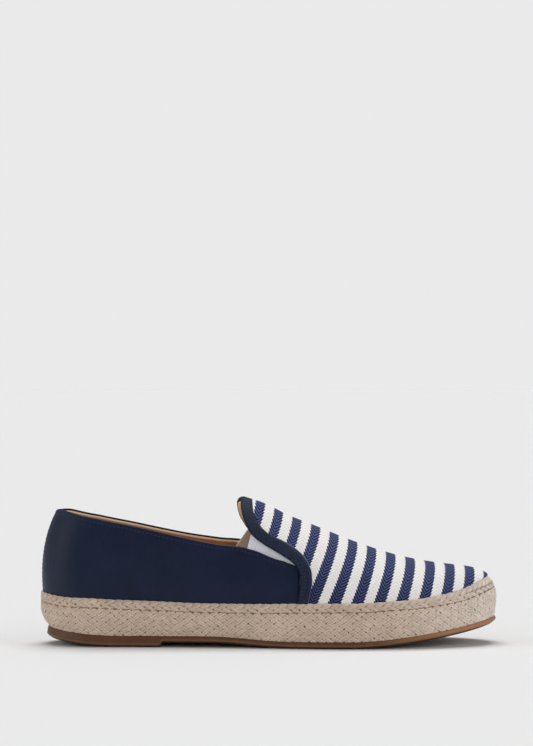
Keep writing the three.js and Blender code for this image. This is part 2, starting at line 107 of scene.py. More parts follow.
# Sizes of the finished pieces
CLOTH_THICKNESS = 1.2
VAMP_LINING_FACE = 0.75
VAMP_LINING_THICKNESS = 0.7
STRIPE_PERIOD = 12.65
BLUE_CENTRE = 64.6  # where one blue stripe crosses the ridge, forward of the shoe's middle
BLUE_SPREAD = 0.55  # how much wider a blue stripe is on each side near the rim
TWILL_PITCH = 2.1
RIDGE_STRETCH = 0.45  # how far the twill is drawn out over the ridge
HOLD_START = 0.76  # the rim holds the cloth in from this share of the length
HOLD_HEIGHT = 4.5  # and up to this height above itself
FRONT_STATION = 21.6  # where the quarters end, under the band
WELT_END = 4.4
STITCH_DROP = 2.7
TRIM_FOOT = 0.955
TRIM_FACE = UPPER_WALL + GAP + 1.0
GORE_REACH = 34
GORE_LOWEST = 20.0
GORE_HIGHEST = 95.0
YARN_WIDTH = 1.57
BRAID_SINK = 0.95
BRAID_START = 5.7  # first crossing below the groove, down from the top edge
BRAID_ROWS = 5
STRAND_HUMP = 0.42
EDGE_TURN_THICKNESS = 1.0
CORE_INSET = 1.35  # the coiled jute stands this far behind the braid
THREAD_PITCH = 6.6
THREAD_RISE = 0.6
TREAD_PITCH = 5.0
TREAD_DEPTH = 0.6
RUBBER_INSET = 4.6  # the flat underside ends this far in from the rubber's edge
RUBBER_EDGE_RISE = 2.4
# Rows of the rubber's rounded lower edge: way out and way up.
RUBBER_EDGE = ((-3.1, 0.3), (-1.7, 0.95), (-0.6, 1.6), (0.0, RUBBER_EDGE_RISE))
# The folded top edge stands a little proud down to its row of stitches: way below the edge, and height.
WELT = ((3.6, 0.0), (3.1, -0.04), (STITCH_DROP, -0.14), (2.35, 0.04), (1.9, 0.14), (1.2, 0.13), (0.65, 0.0))
# Strands that turn over the top edge, above the groove: place along the repeat as a share of it, way down,
# half length as a share of the repeat, half width, and slant in degrees.
EDGE_TURNS = ((0.0, 1.55, 0.62, 1.35, 24.0), (0.5, 3.55, 0.64, 1.4, -26.0))

# Stage
FLOOR_LIGHT = 0.8228
FLOOR_SIDE = 60000
CAMERA_PLACE = (-0.001576, -2.0, 0.1703)
CAMERA_LENS = 152.82
# Soft light from all round: direction where it starts and ends to rise, and how bright it is there.
BACKDROP_GLOW = (-0.5, 0.8, 0.08, 0.28)
CEILING_GLOW = (0.0, 1.0, 0.0, 0.07)
# Each lamp's place round the shoe, measured from the toe's direction towards the inner side, its height
# above the horizon, its strength, how broad it looks, in degrees, and whether it shows as a reflection.
LAMPS = (
    ("overhead", 90, 69, 1.92, 38, True),
    ("front_fill", -90, 13, 0.8, 50, False),
    ("heel_side", 195, 20, 0.75, 45, True),
    ("toe_side", -18, 20, 0.95, 45, True),
)

# Tables of the shoe's forms. Each first row names the columns.
PLAN = (
    ("at", "heel", "ball", "bend"),
    (0.0, 0.5, 0.0, 0.0),
    (0.2, 0.505, 0.0, -0.004),
    (0.3, 0.41, 0.062, -0.022),
    (0.4, 0.26, 0.17, -0.045),
    (0.5, 0.13, 0.295, -0.056),
    (0.6, 0.03, 0.415, -0.052),
    (0.68, 0.0, 0.472, -0.027),
    (0.74, 0.0, 0.486, 0.0),
    (0.82, 0.0, 0.463, 0.028),
    (0.9, 0.0, 0.435, 0.051),
    (1.0, 0.0, 0.395, 0.066),
)
BAND = (
    ("at", "height"),
    (0.0, 1.03),
    (0.04, 1.035),
    (0.13, 1.105),
    (0.26, 1.05),
    (0.35, 1.0),
    (0.46, 0.99),
    (0.57, 1.02),
    (0.66, 1.03),
    (0.743, 1.02),
    (0.83, 0.955),
    (0.92, 0.915),
    (0.96, 0.97),
    (1.0, 1.03),
)
LAST = (
    ("at", "instep", "toe", "ridge", "square"),
    (0.0, 1.24, 0.0, 0.5, 2.5),
    (0.15, 1.25, 0.0, 0.5, 2.4),
    (0.3, 1.18, 0.0, 0.52, 2.2),
    (0.38, 1.09, 0.0, 0.54, 2.1),
    (0.45, 0.995, 0.0, 0.56, 2.0),
    (0.525, 0.918, 0.0, 0.57, 2.0),
    (0.612, 0.6, 0.39, 0.565, 2.0),
    (0.7, 0.33, 0.69, 0.555, 2.05),
    (0.787, 0.12, 0.92, 0.54, 2.15),
    (0.875, 0.03, 0.985, 0.525, 2.3),
    (0.95, 0.0, 1.0, 0.51, 2.4),
    (1.0, 0.0, 0.99, 0.5, 2.4),
)
TOPLINE = (
    ("at", "collar", "instep", "inner"),
    (-0.1, 1.0, 0.0, 0.0),
    (0.05, 0.999, 0.0, 0.0),
    (0.085, 0.973, 0.0, 0.0),
    (0.13, 0.92, 0.019, 0.0),
    (0.217, 0.78, 0.095, 0.0),
    (0.3, 0.6, 0.205, 0.006),
    (0.39, 0.34, 0.394, 0.021),
    (0.447, 0.17, 0.534, 0.025),
    (0.48, 0.09, 0.579, 0.023),
    (0.524, 0.02, 0.592, 0.02),
    (0.566, 0.0, 0.567, 0.014),
    (0.62, 0.0, 0.54, 0.01),
)
THROAT = (
    ("height", "rear", "front"),
    (0.2, 0.558, 0.5765),
    (0.3066, 0.5613, 0.5826),
    (0.3927, 0.5655, 0.5875),
    (0.46, 0.5675, 0.5915),
    (0.526, 0.5658, 0.5903),
    (0.581, 0.5555, 0.5844),
    (0.64, 0.531, 0.572),
    (0.6826, 0.5085, 0.5575),
    (0.7287, 0.4848, 0.5352),
    (0.7666, 0.4697, 0.5129),
    (0.797, 0.4605, 0.4968),
    (0.844, 0.4525, 0.4815),
    (0.897, 0.445, 0.471),
    (0.9577, 0.4405, 0.466),
    (0.99, 0.4395, 0.4652),
    (1.012, 0.441, 0.4652),
    (1.03, 0.4435, 0.4655),
    (1.045, 0.4475, 0.466),
    (1.08, 0.458, 0.4665),
)
# How far a stripe's lower end lies behind its crossing of the ridge, in millimetres.
STRIPE_SLIP = (
    ("at", "slip"),
    (0.45, 24.0),
    (0.55, 20.5),
    (0.6, 18.2),
    (0.632, 16.0),
    (0.672, 13.6),
    (0.712, 11.0),
    (0.752, 9.1),
    (0.797, 7.4),
    (0.838, 5.7),
    (0.883, 4.1),
    (0.927, 2.6),
    (0.97, 1.0),
    (1.0, 0.0),
)


def clamp01(t):
    return np.clip(t, 0, 1)


def mix(a, b, t):
    return a + (b - a) * t


def ease(t):
    return clamp01(t) ** 2 * (3 - 2 * clamp01(t))


def column(rows, key, by="at"):
    """A smooth reading of one column of a table, with no overshoot between its rows."""
    names = rows[0]
    x = np.array([row[names.index(by)] for row in rows[1:]], float)
    y = np.array([row[names.index(key)] for row in rows[1:]], float)
    slope = np.diff(y) / np.diff(x)
    before, after = slope[:-1], slope[1:]
    same = before * after > 0
    tangent = np.empty_like(y)
    tangent[0], tangent[-1] = slope[0], slope[-1]
    tangent[1:-1] = np.where(same, 2 * before * after / np.where(same, before + after, 1), 0)

    def read(at):
        t = np.clip(at, x[0], x[-1])
        i = np.clip(np.searchsorted(x, t) - 1, 0, len(x) - 2)
        width = x[i + 1] - x[i]
        s = (t - x[i]) / width
        near = y[i] * (1 + 2 * s) * (1 - s) ** 2 + tangent[i] * width * s * (1 - s) ** 2
        far = y[i + 1] * s * s * (3 - 2 * s) + tangent[i + 1] * width * s * s * (s - 1)
        return near + far

    return read


plan_heel = column(PLAN, "heel")
plan_ball = column(PLAN, "ball")
plan_bend = column(PLAN, "bend")
band_height = column(BAND, "height")
ridge_instep = column(LAST, "instep")
ridge_toe = column(LAST, "toe")
ridge_across = column(LAST, "ridge")
section_square = column(LAST, "square")
topline_collar = column(TOPLINE, "collar")
topline_instep = column(TOPLINE, "instep")
topline_inner = column(TOPLINE, "inner")
throat_rear = column(THROAT, "rear", "height")
throat_front = column(THROAT, "front", "height")
stripe_slip = column(STRIPE_SLIP, "slip")


# The sole's plan. A station runs from 0 at the back of the heel to STATIONS at the tip, and beyond either
# end it carries on along the other side. side is -1 on the outer side and 1 on the inner.
def round_ends(from_back):
    roundness = 2.15
    heel = clamp01(1 - from_back / HEEL_ROUND)
    toe = clamp01(1 - (SOLE_LENGTH - from_back) / TOE_ROUND)
    return np.maximum((1 - heel**roundness) * (1 - toe**roundness), 0) ** (1 / roundness)


def sole_edge(share, side):
    half = (plan_heel(share) * HEEL_WIDTH + plan_ball(share) * BALL_WIDTH) * round_ends(share * SOLE_LENGTH)
    return plan_bend(share) * BALL_WIDTH + side * half


_finely = np.linspace(0, 1, 401)
MIDDLE_X = SOLE_LENGTH / 2
MIDDLE_Y = (sole_edge(_finely, -1).min() + sole_edge(_finely, 1).max()) / 2


def fold_back(station, side):
    """A station beyond the heel or the tip, as one on the other side."""
    beyond = (station < 0) | (station > STATIONS)
    inside = np.where(station < 0, -station, np.where(station > STATIONS, 2 * STATIONS - station, station))
    return inside, np.where(beyond, -side, side)


def outline(station, side):
    inside, side = fold_back(station, side)
    share = (1 - np.cos(np.pi * inside / STATIONS)) / 2
    return share * SOLE_LENGTH - MIDDLE_X, sole_edge(share, side) - MIDDLE_Y


def outward(station, side):
    """Direction out of the outline, level with the floor."""
    step = 0.5
    x0, y0 = outline(station - step, side)
    x1, y1 = outline(station + step, side)
    length = np.hypot(x1 - x0, y1 - y0)
    return side * (y0 - y1) / length, side * (x1 - x0) / length


def share_at(x):
    return clamp01((x + MIDDLE_X) / SOLE_LENGTH)


def edge(station, side, margin):
    """The outline moved outwards by a margin, which may be a function of the share of the length."""
    x, y = outline(station, side)
    nx, ny = outward(station, side)
    out = margin(share_at(x)) if callable(margin) else margin
    return x + nx * out, y + ny * out


def spring(share):
    heel = clamp01(1 - share / HEEL_FLAT_START) ** 1.7
    toe = clamp01((share - BALL_FLAT_END) / (1 - BALL_FLAT_END)) ** 1.65
    return HEEL_SPRING * heel + TOE_SPRING * toe


def waist(share):
    return WAIST_LIFT * ease((BALL_FLAT_START - share) / (BALL_FLAT_START - WAIST_END))


def outsole_under(share):
    return spring(share) + waist(share)


def outsole_top(share):
    return outsole_under(share) + OUTSOLE_THICKNESS


def braid_foot(share):
    return outsole_top(share) + GAP


def rim_top(share):
    return OUTSOLE_THICKNESS + WAIST_LIFT + spring(share) + band_height(share) * BRAID_HEIGHT


def seat(share):
    return rim_top(share) - RIM_DEPTH


def braid_margin(share, level):
    heelness = ease(1 - share / (HEEL_ROUND / SOLE_LENGTH))
    toeness = ease((share - TOE_START) / (1 - TOE_START))
    foot = mix(mix(SIDE_TUCK, HEEL_TUCK, heelness), TOE_TUCK, toeness)
    tuck = foot * clamp01(1 - level / 0.55) ** 2
    lean = mix(SIDE_LEAN * (1 - heelness), TOE_LEAN, toeness) * clamp01((level - 0.55) / 0.45) ** 2
    return -tuck - lean


# The last that the upper is drawn over. across runs from -1 at its outer foot over the ridge, 0, to 1 at
# its inner foot, and is even along the curve.
def heel_setback(height):
    up = (height - seat(0)) / (COLLAR_HEIGHT - seat(0))
    bulge = HEEL_BULGE * np.sin(np.pi * clamp01(up)) ** 0.75
    return HEEL_LEAN * np.maximum(0, up) ** 3 - bulge


def ridge_height(share):
    full = ridge_instep(share) * INSTEP_HEIGHT + ridge_toe(share) * TOE_BOX_HEIGHT
    towards_tip = clamp01((share - NOSE_START) / (1 - NOSE_START))
    nose = 0.3
    kept = nose + (1 - nose) * (1 - towards_tip**2.6) ** (1 / 2.6)
    return mix(seat(share), full, kept)


LAST_TIP = share_at(edge(np.array(float(STATIONS)), -1, -LAST_INSET)[0])


def last_climbed(station, climb):
    """Points of the last. climb runs from -1 at the outer foot over the ridge, 0, to 1 at the inner foot."""
    side = np.where(climb < 0, -1, 1)
    inside, folded = fold_back(station, side)
    outer = edge(inside, -1, -LAST_INSET)
    inner = edge(inside, 1, -LAST_INSET)
    foot_x, foot_y = (np.where(folded < 0, o, i) for o, i in zip(outer, inner))
    share = share_at((outer[0] + inner[0]) / 2) / LAST_TIP
    ridge_x, ridge_y = (mix(o, i, ridge_across(share)) for o, i in zip(outer, inner))
    power = 2 / section_square(share)
    angle = (math.pi / 2) * (1 - np.minimum(np.abs(climb), 1))
    level = np.maximum(0, np.cos(angle)) ** power
    height = mix(seat(share_at(foot_x)), ridge_height(share), np.maximum(0, np.sin(angle)) ** power)
    leaning = ease(1 - share / LEAN_END)
    x = mix(ridge_x, foot_x, level) + heel_setback(height) * leaning
    return np.stack([x, mix(ridge_y, foot_y, level), height], axis=-1)


_CLIMBS = np.sin(np.linspace(0, np.pi / 2, 181)) ** 1.5
_COLUMNS = np.linspace(0, STATIONS, 401)


def _arch_tables(side):
    """For every column, the share of the way from ridge to foot at each climb, and the whole way."""
    station, climb = np.meshgrid(_COLUMNS, _CLIMBS, indexing="ij")
    points = last_climbed(station, side * np.maximum(climb, 1e-9))
    way = np.cumsum(np.linalg.norm(np.diff(points, axis=1), axis=2), axis=1)
    way = np.concatenate([np.zeros((len(_COLUMNS), 1)), way], axis=1)
    even = np.linspace(0, 1, 181)
    climbs = np.array([np.interp(even * row[-1], row, _CLIMBS) for row in way])
    return climbs, way[:, -1]


_ARCH = {-1: _arch_tables(-1), 1: _arch_tables(1)}


def _read_table(table, station, share):
    u = np.clip(station / STATIONS * (len(_COLUMNS) - 1), 0, len(_COLUMNS) - 1.001)
    v = np.clip(share * 180, 0, 179.999)
    i, j = u.astype(int), v.astype(int)
    a, b = u - i, v - j
    lower = mix(table[i, j], table[i, j + 1], b)
    upper = mix(table[i + 1, j], table[i + 1, j + 1], b)
    return mix(lower, upper, a)


def climb_of(station, across):
    """The climb at an even share of the way from ridge to foot."""
    side = np.where(across < 0, -1, 1)
    inside, folded = fold_back(station, side)
    share = np.abs(across)
    climb = np.where(
        folded < 0, _read_table(_ARCH[-1][0], inside, share), _read_table(_ARCH[1][0], inside, share)
    )
    return side * climb


def arch_length(station, across):
    """Way from the ridge to the foot on the side of a point."""
    side = np.where(across < 0, -1, 1)
    inside, folded = fold_back(station, side)
    return np.where(
        folded < 0, np.interp(inside, _COLUMNS, _ARCH[-1][1]), np.interp(inside, _COLUMNS, _ARCH[1][1])
    )


def last_point(station, across, offset=0.0):
    """A point of the last, moved outwards by an offset."""
    station, across = np.broadcast_arrays(np.asarray(station, float), np.asarray(across, float))
    across = np.where(across == 0, 1e-9, across)
    climb = climb_of(station, across)
    point = last_climbed(station, climb)
    step = 0.02
    near_pole = np.abs(climb) < 0.05
    middle = np.where(near_pole, np.clip(station, 0.15, STATIONS - 0.15), station)
    low = np.clip(climb - step / 2, -1, 1)
    high = np.clip(climb + step / 2, -1, 1)
    forward = last_climbed(middle + step, climb) - last_climbed(middle - step, climb)
    up = last_climbed(middle, high) - last_climbed(middle, low)
    normal = np.cross(forward, up)
    normal /= np.maximum(np.linalg.norm(normal, axis=-1, keepdims=True), 1e-12)
    return point + normal * np.asarray(offset, float)[..., None] * np.ones_like(normal)


def bisect(miss, low, high, steps=26):
    """Where a rising function of an array crosses zero between two arrays."""
    for _ in range(steps):
        middle = (low + high) / 2
        over = miss(middle) > 0
        high = np.where(over, middle, high)
        low = np.where(over, low, middle)
    return (low + high) / 2


def topline_height(share, side):
    instep = topline_instep(share) + np.where(side > 0, topline_inner(share), 0)
    return topline_collar(share) * COLLAR_HEIGHT + instep * INSTEP_HEIGHT


def topline_across(station, side, offset=UPPER_WALL):
    """How far from the ridge a quarter's top edge lies, as a share of the way to the foot."""

    def miss(across):
        point = last_point(station, across * side, offset)
        return topline_height(point[..., 0] / SOLE_LENGTH + 0.5, side) - point[..., 2]

    return bisect(miss, np.full_like(station, 0.02), np.full_like(station, 0.98))


def throat_line(forward):
    """The throat edge seen from the side, moved forwards by a share of the trim's width: x by height."""
    height = np.linspace(0.2, 1.3, 220)
    share = mix(throat_rear(height), throat_front(height), forward)
    return height * INSTEP_HEIGHT, share * SOLE_LENGTH - MIDDLE_X


def throat_station(across, forward, offset):
    """The station at which a line across the vamp meets the throat edge, moved forwards."""
    heights, places = throat_line(forward)
    lag = INNER_LAG * ease((across + 0.02) / 0.12) * ease((0.5 - across) / 0.3)

    def miss(station):
        point = last_point(station, across, offset)
        return point[..., 0] - np.interp(point[..., 2], heights, places) + lag

    return bisect(miss, np.full_like(across, 15.5), np.full_like(across, 26.0))


# Meshes
def points_of(mesh):
    flat = np.empty(len(mesh.vertices) * 3)
    mesh.vertices.foreach_get("co", flat)
    return flat.reshape(-1, 3)


def lay_points(mesh, points):
    mesh.vertices.foreach_set("co", np.ascontiguousarray(points * MM).ravel())
    mesh.update()


def keep_lay(mesh, values):
    """Keeps a reading of each point, such as how far along the cloth it lies, for the finishes."""
    kept = mesh.attributes.new("lay", "FLOAT_VECTOR", "POINT")
    kept.data.foreach_set("vector", np.ascontiguousarray(values, float).ravel())


def grid_mesh(name, columns, rows):
    """A plain grid, with each point's shares along and across it."""
    mesh = bpy.data.meshes.new(name)
    bm = bmesh.new()
    bmesh.ops.create_grid(bm, x_segments=columns, y_segments=rows, size=1)
    bm.to_mesh(mesh)
    bm.free()
    flat = points_of(mesh)
    s = (flat[:, 0] - flat[:, 0].min()) / np.ptp(flat[:, 0])
    t = (flat[:, 1] - flat[:, 1].min()) / np.ptp(flat[:, 1])
    return mesh, s, t


def close_up(mesh, merge, capped=False, turned=True):
    """Joins the edges that meet, caps open ends and points all faces outwards."""
    bm = bmesh.new()
    bm.from_mesh(mesh)
    bmesh.ops.remove_doubles(bm, verts=bm.verts, dist=merge * MM)
    bmesh.ops.dissolve_degenerate(bm, edges=bm.edges, dist=0.2 * merge * MM)
    if capped:
        bmesh.ops.holes_fill(bm, edges=bm.edges, sides=0)
    if turned:
        bmesh.ops.recalc_face_normals(bm, faces=bm.faces)
    bm.to_mesh(mesh)
    bm.free()


def piece(mesh, name, finish, slot, *nodes):
    """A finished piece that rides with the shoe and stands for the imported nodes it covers."""
    mesh.shade_smooth()
    mesh.materials.clear()
    mesh.materials.append(finish)
    made = bpy.data.objects.new(name, mesh)
    bpy.context.scene.collection.objects.link(made)
    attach(made, "root")
    if nodes:
        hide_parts(*nodes)
    return made


def thicken(made, thickness):
    """Gives a sheet its thickness, on its inner side."""
    solid = made.modifiers.new("thickness", "SOLIDIFY")
    solid.thickness = thickness * MM
    solid.offset = -1
    solid.use_even_offset = False


# Finishes
def linear(red, green, blue):
    """A colour as it looks on screen, from 0 to 255, as amounts of light."""
    shares = (red / 255, green / 255, blue / 255)
    return tuple(((c + 0.055) / 1.055) ** 2.4 if c > 0.04 else c / 12.92 for c in shares)


def shaded(colour, share, lift=0.0):
    """A colour made darker or lighter by a share, and lifted by a little."""
    return tuple(min(1.0, c * share + lift) for c in colour)


class Finish:
    """A finish under construction. Each call adds one node and returns its output."""

    def __init__(self, name, **settings):
        self.material = bpy.data.materials.new(name)
        self.material.use_nodes = True
        self.tree = self.material.node_tree
        self.tree.nodes.clear()
        self.shader = self.tree.nodes.new("ShaderNodeBsdfPrincipled")
        output = self.tree.nodes.new("ShaderNodeOutputMaterial")
        self.tree.links.new(self.shader.outputs[0], output.inputs[0])
        for socket, value in settings.items():
            self.shader.inputs[socket.replace("_", " ")].default_value = value

    def feed(self, socket, value):
        if isinstance(value, bpy.types.NodeSocket):
            self.tree.links.new(value, socket)
        elif value is not None:
            socket.default_value = value

    def node(self, kind, output=0, values=None, **settings):
        node = self.tree.nodes.new("ShaderNode" + kind)
        for key, value in settings.items():
            setattr(node, key, value)
        for key, value in (values or {}).items():
            self.feed(node.inputs[key], value)
        return node.outputs[output]

    def calc(self, operation, a, b=None):
        return self.node("Math", values={0: a, 1: b}, operation=operation)

    def plus(self, a, b):
        return self.calc("ADD", a, b)

    def less(self, a, b):
        return self.calc("SUBTRACT", a, b)

    def times(self, a, b):
        return self.calc("MULTIPLY", a, b)

    def size_of(self, a):
        return self.calc("ABSOLUTE", a)

    def blend(self, factor, a, b):
        colours = {0: factor, 6: a if not isinstance(a, tuple) else (*a, 1)}
        colours[7] = b if not isinstance(b, tuple) else (*b, 1)
        return self.node("Mix", output=2, values=colours, data_type="RGBA")

    def place(self, scale=(1, 1, 1)):
        """The point's place on the shoe in millimetres, stretched."""
        spot = self.node("TexCoord", output="Object")
        sized = tuple(s / MM for s in scale)
        return self.node("Mapping", values={"Vector": spot, "Scale": sized})

    def lay(self):
        """A reading kept on the piece, split into its three parts."""
        kept = self.node("Attribute", output="Vector", attribute_name="lay")
        split = self.tree.nodes.new("ShaderNodeSeparateXYZ")
        self.tree.links.new(kept, split.inputs[0])
        return split.outputs

    def vector(self, x, y, z=0.0):
        return self.node("CombineXYZ", values={0: x, 1: y, 2: z})

    def noise(self, where, size, detail=2.0, rough=0.5):
        """Soft patches of about a given size in millimetres."""
        values = {"Vector": where, "Scale": 1 / size, "Detail": detail, "Roughness": rough}
        return self.node("TexNoise", output="Fac", values=values)

    def cells(self, where, size, feature="F1"):
        values = {"Vector": where, "Scale": 1 / size}
        return self.node("TexVoronoi", output="Distance", values=values, feature=feature)

    def spread(self, value, low, high, to_low=0.0, to_high=1.0):
        values = {"Value": value, 1: low, 2: high, 3: to_low, 4: to_high}
        return self.node("MapRange", values=values, clamp=True)

    def raise_by(self, height, depth, after=None):
        """Adds relief of a depth in millimetres."""
        values = {"Strength": 1.0, "Distance": depth * MM, "Height": height, "Normal": after}
        bumped = self.node("Bump", output="Normal", values=values)
        self.feed(self.shader.inputs["Normal"], bumped)
        return bumped

    def set(self, socket, value):
        self.feed(self.shader.inputs[socket], value)


def smooth_leather(name, colour, grain=0.9, depth=0.035, gloss=0.5, specular=0.24):
    """Smooth full-grain leather with a fine pebble and a soft sheen."""
    finish = Finish(name, Specular_IOR_Level=specular)
    spot = finish.place()
    broad = finish.noise(spot, 24.0, 3.0)
    fine = finish.noise(spot, 2.2, 4.0, 0.6)
    pebble = finish.cells(spot, grain, "SMOOTH_F1")
    drawn = finish.noise(finish.place((1.0, 1.0, 0.18)), 1.4, 3.0, 0.6)
    grained = finish.plus(finish.times(fine, 0.2), finish.times(drawn, 0.3))
    shade = finish.plus(finish.times(broad, 0.5), grained)
    dark = shaded(colour, 0.78)
    light = shaded(colour, 1.26)
    finish.set("Base Color", finish.blend(finish.spread(shade, 0.35, 0.65), dark, light))
    finish.set("Roughness", finish.spread(fine, 0.3, 0.7, gloss - 0.06, gloss + 0.07))
    soft = finish.raise_by(broad, 0.25)
    finish.raise_by(finish.plus(pebble, finish.times(fine, 0.6)), depth, soft)
    return finish.material


def edged_leather(name, colour):
    """Lining leather, with a painted highlight along its edge."""
    finish = Finish(name, Specular_IOR_Level=0.2)
    below, _, _ = finish.lay()
    spot = finish.place()
    fine = finish.noise(spot, 1.6, 4.0, 0.6)
    broad = finish.noise(spot, 20.0, 3.0)
    body = finish.blend(finish.spread(broad, 0.3, 0.7), shaded(colour, 0.7), shaded(colour, 1.05))
    # Painted highlight: the strip along the edge is blended towards a pale tan.
    painted_lining_highlight = finish.spread(below, 1.7, 2.4, 1.0, 0.0)
    finish.set("Base Color", finish.blend(painted_lining_highlight, body, linear(250, 220, 178)))
    finish.set("Roughness", finish.spread(fine, 0.3, 0.7, 0.6, 0.75))
    finish.raise_by(fine, 0.05)
    return finish.material


def band_leather(name, colour):
    """Dry binding leather with a fine tight grain."""
    finish = Finish(name, Specular_IOR_Level=0.2)
    spot = finish.place()
    grain = finish.cells(spot, 0.55)
    fine = finish.noise(spot, 0.8, 3.0, 0.75)
    flecks = finish.spread(fine, 0.45, 0.72)
    light = shaded(colour, 2.5, 0.008)
    finish.set("Base Color", finish.blend(flecks, colour, light))
    finish.set("Roughness", finish.spread(fine, 0.3, 0.7, 0.6, 0.8))
    finish.raise_by(finish.plus(grain, fine), 0.07)
    return finish.material


def striped_twill(name, blue, white):
    """Herringbone twill. The reading gives the place along the vamp and the place down its side."""
    finish = Finish(name, Roughness=0.9, Specular_IOR_Level=0.08, Sheen_Weight=0.02, Sheen_Roughness=0.5)
    along, down, _ = finish.lay()
    wobble = finish.noise(finish.vector(along, down), 1.6, 2.0)
    wander = finish.times(finish.less(wobble, 0.5), 0.7)
    turn = finish.calc("FRACT", finish.plus(finish.calc("DIVIDE", along, STRIPE_PERIOD), 0.5))
    from_blue = finish.times(finish.size_of(finish.less(turn, 0.5)), STRIPE_PERIOD)
    rib = finish.calc("DIVIDE", finish.plus(finish.plus(down, from_blue), wander), TWILL_PITCH)
    saw = finish.calc("FRACT", rib)
    wave = finish.size_of(finish.less(finish.times(saw, 2.0), 1.0))
    yarn = finish.calc("FRACT", finish.times(rib, 2.0))
    thread = finish.size_of(finish.less(finish.times(yarn, 2.0), 1.0))
    reach = finish.times(finish.less(wave, 0.5), 0.85)
    edge_at = finish.plus(finish.plus(from_blue, reach), wander)
    far_down = finish.size_of(down)
    wider = finish.spread(far_down, 20.0, 60.0, 0.0, BLUE_SPREAD)
    edge_at = finish.less(edge_at, wider)
    is_white = finish.spread(edge_at, STRIPE_PERIOD / 4 - 0.12, STRIPE_PERIOD / 4 + 0.12)
    fleck = finish.noise(finish.vector(along, down), 0.5, 2.0, 0.7)
    tone = finish.plus(finish.times(wave, 0.75), finish.times(fleck, 0.3))
    dark_blue = shaded(blue, 0.12)
    light_blue = shaded(blue, 1.72, 0.048)
    dark_white = shaded(white, 0.78)
    blues = finish.blend(finish.spread(tone, 0.25, 0.8), dark_blue, light_blue)
    # Painted shade: the blue darkens further down the side, towards the rim.
    blues = finish.blend(finish.spread(far_down, 20.0, 46.0, 0.0, 0.35), blues, dark_blue)
    whites = finish.blend(finish.spread(tone, 0.15, 0.6), dark_white, white)
    finish.set("Base Color", finish.blend(is_white, blues, whites))
    relief = finish.plus(finish.times(wave, 0.8), finish.times(thread, 0.35))
    finish.raise_by(finish.plus(relief, finish.times(fleck, 0.3)), 0.22)
    return finish.material


def jute_yarn(name, colour):
    """Plain spun jute, with painted shade in the valleys between its yarns and where strands dive under, and
    painted light towards the toe. The reading gives the place along a strand, the place across it and its own
    tint.
    """
    finish = Finish(name, Roughness=0.9, Specular_IOR_Level=0.2, Sheen_Weight=0.2, Sheen_Roughness=0.6)
    along, aside, tint = finish.lay()
    twist = finish.plus(finish.times(along, 0.9), aside)
    drawn_out = finish.vector(finish.times(along, 0.25), finish.times(aside, 3.0), tint)
    streaks = finish.noise(drawn_out, 0.9, 4.0, 0.65)
    ply = finish.calc("SINE", finish.times(twist, 6.2))
    spot = finish.place()
    patch = finish.noise(spot, 14.0, 2.0)
    blotch = finish.plus(finish.times(patch, 0.25), finish.times(tint, 0.12))
    yarn = finish.size_of(finish.calc("SINE", finish.times(aside, math.pi / YARN_WIDTH)))
    # Painted shade: strands darken towards their ends, where they dive under the crossing strands.
    painted_dive_shade = finish.spread(finish.size_of(along), 2.3, 3.3, 0.0, 0.45)
    # Painted shade: the yarn term darkens the colour in the valleys between the yarns.
    body = finish.plus(finish.times(streaks, 0.5), finish.times(yarn, 0.24))
    tone = finish.less(finish.plus(blotch, body), painted_dive_shade)
    dark = shaded(colour, 0.516)
    light = shaded(colour, 1.33)
    fibres = finish.blend(finish.spread(tone, 0.2, 0.85), dark, light)
    # Painted light: towards the toe the fibres are blended into paler, whiter copies, standing for the
    # brighter light that falls there.
    forward = finish.node("SeparateXYZ", values={0: spot})
    painted_toe_light = finish.spread(forward, 70.0, 135.0, 0.0, 0.85)
    toe_lit_fibres = finish.blend(finish.spread(tone, 0.2, 0.85), linear(172, 152, 136), linear(250, 237, 225))
    finish.set("Base Color", finish.blend(painted_toe_light, fibres, toe_lit_fibres))
    relief = finish.plus(streaks, finish.times(ply, 0.14))
    relief = finish.plus(relief, finish.times(yarn, 0.35))
    finish.raise_by(relief, 0.35)
    return finish.material


def elastic_web(name, face, back_face):
    """Ribbed elastic: pale outside, and its back shows the rubber threads."""
    finish = Finish(name, Roughness=0.8, Specular_IOR_Level=0.25, Sheen_Weight=0.3)
    along, down, inside = finish.lay()
    rib = finish.calc("SINE", finish.times(along, 2 * math.pi / 0.9))
    weft = finish.calc("SINE", finish.times(down, 2 * math.pi / 0.6))
    fleck = finish.noise(finish.vector(along, down), 0.5, 3.0)
    tone = finish.plus(finish.times(rib, 0.2), fleck)
    outer = finish.blend(finish.spread(tone, 0.3, 0.8), shaded(face, 0.96), face)
    inner = finish.blend(finish.spread(tone, 0.3, 0.8), shaded(back_face, 0.92), back_face)
    finish.set("Base Color", finish.blend(inside, outer, inner))
    finish.raise_by(finish.plus(rib, finish.times(weft, 0.35)), 0.08)
    return finish.material


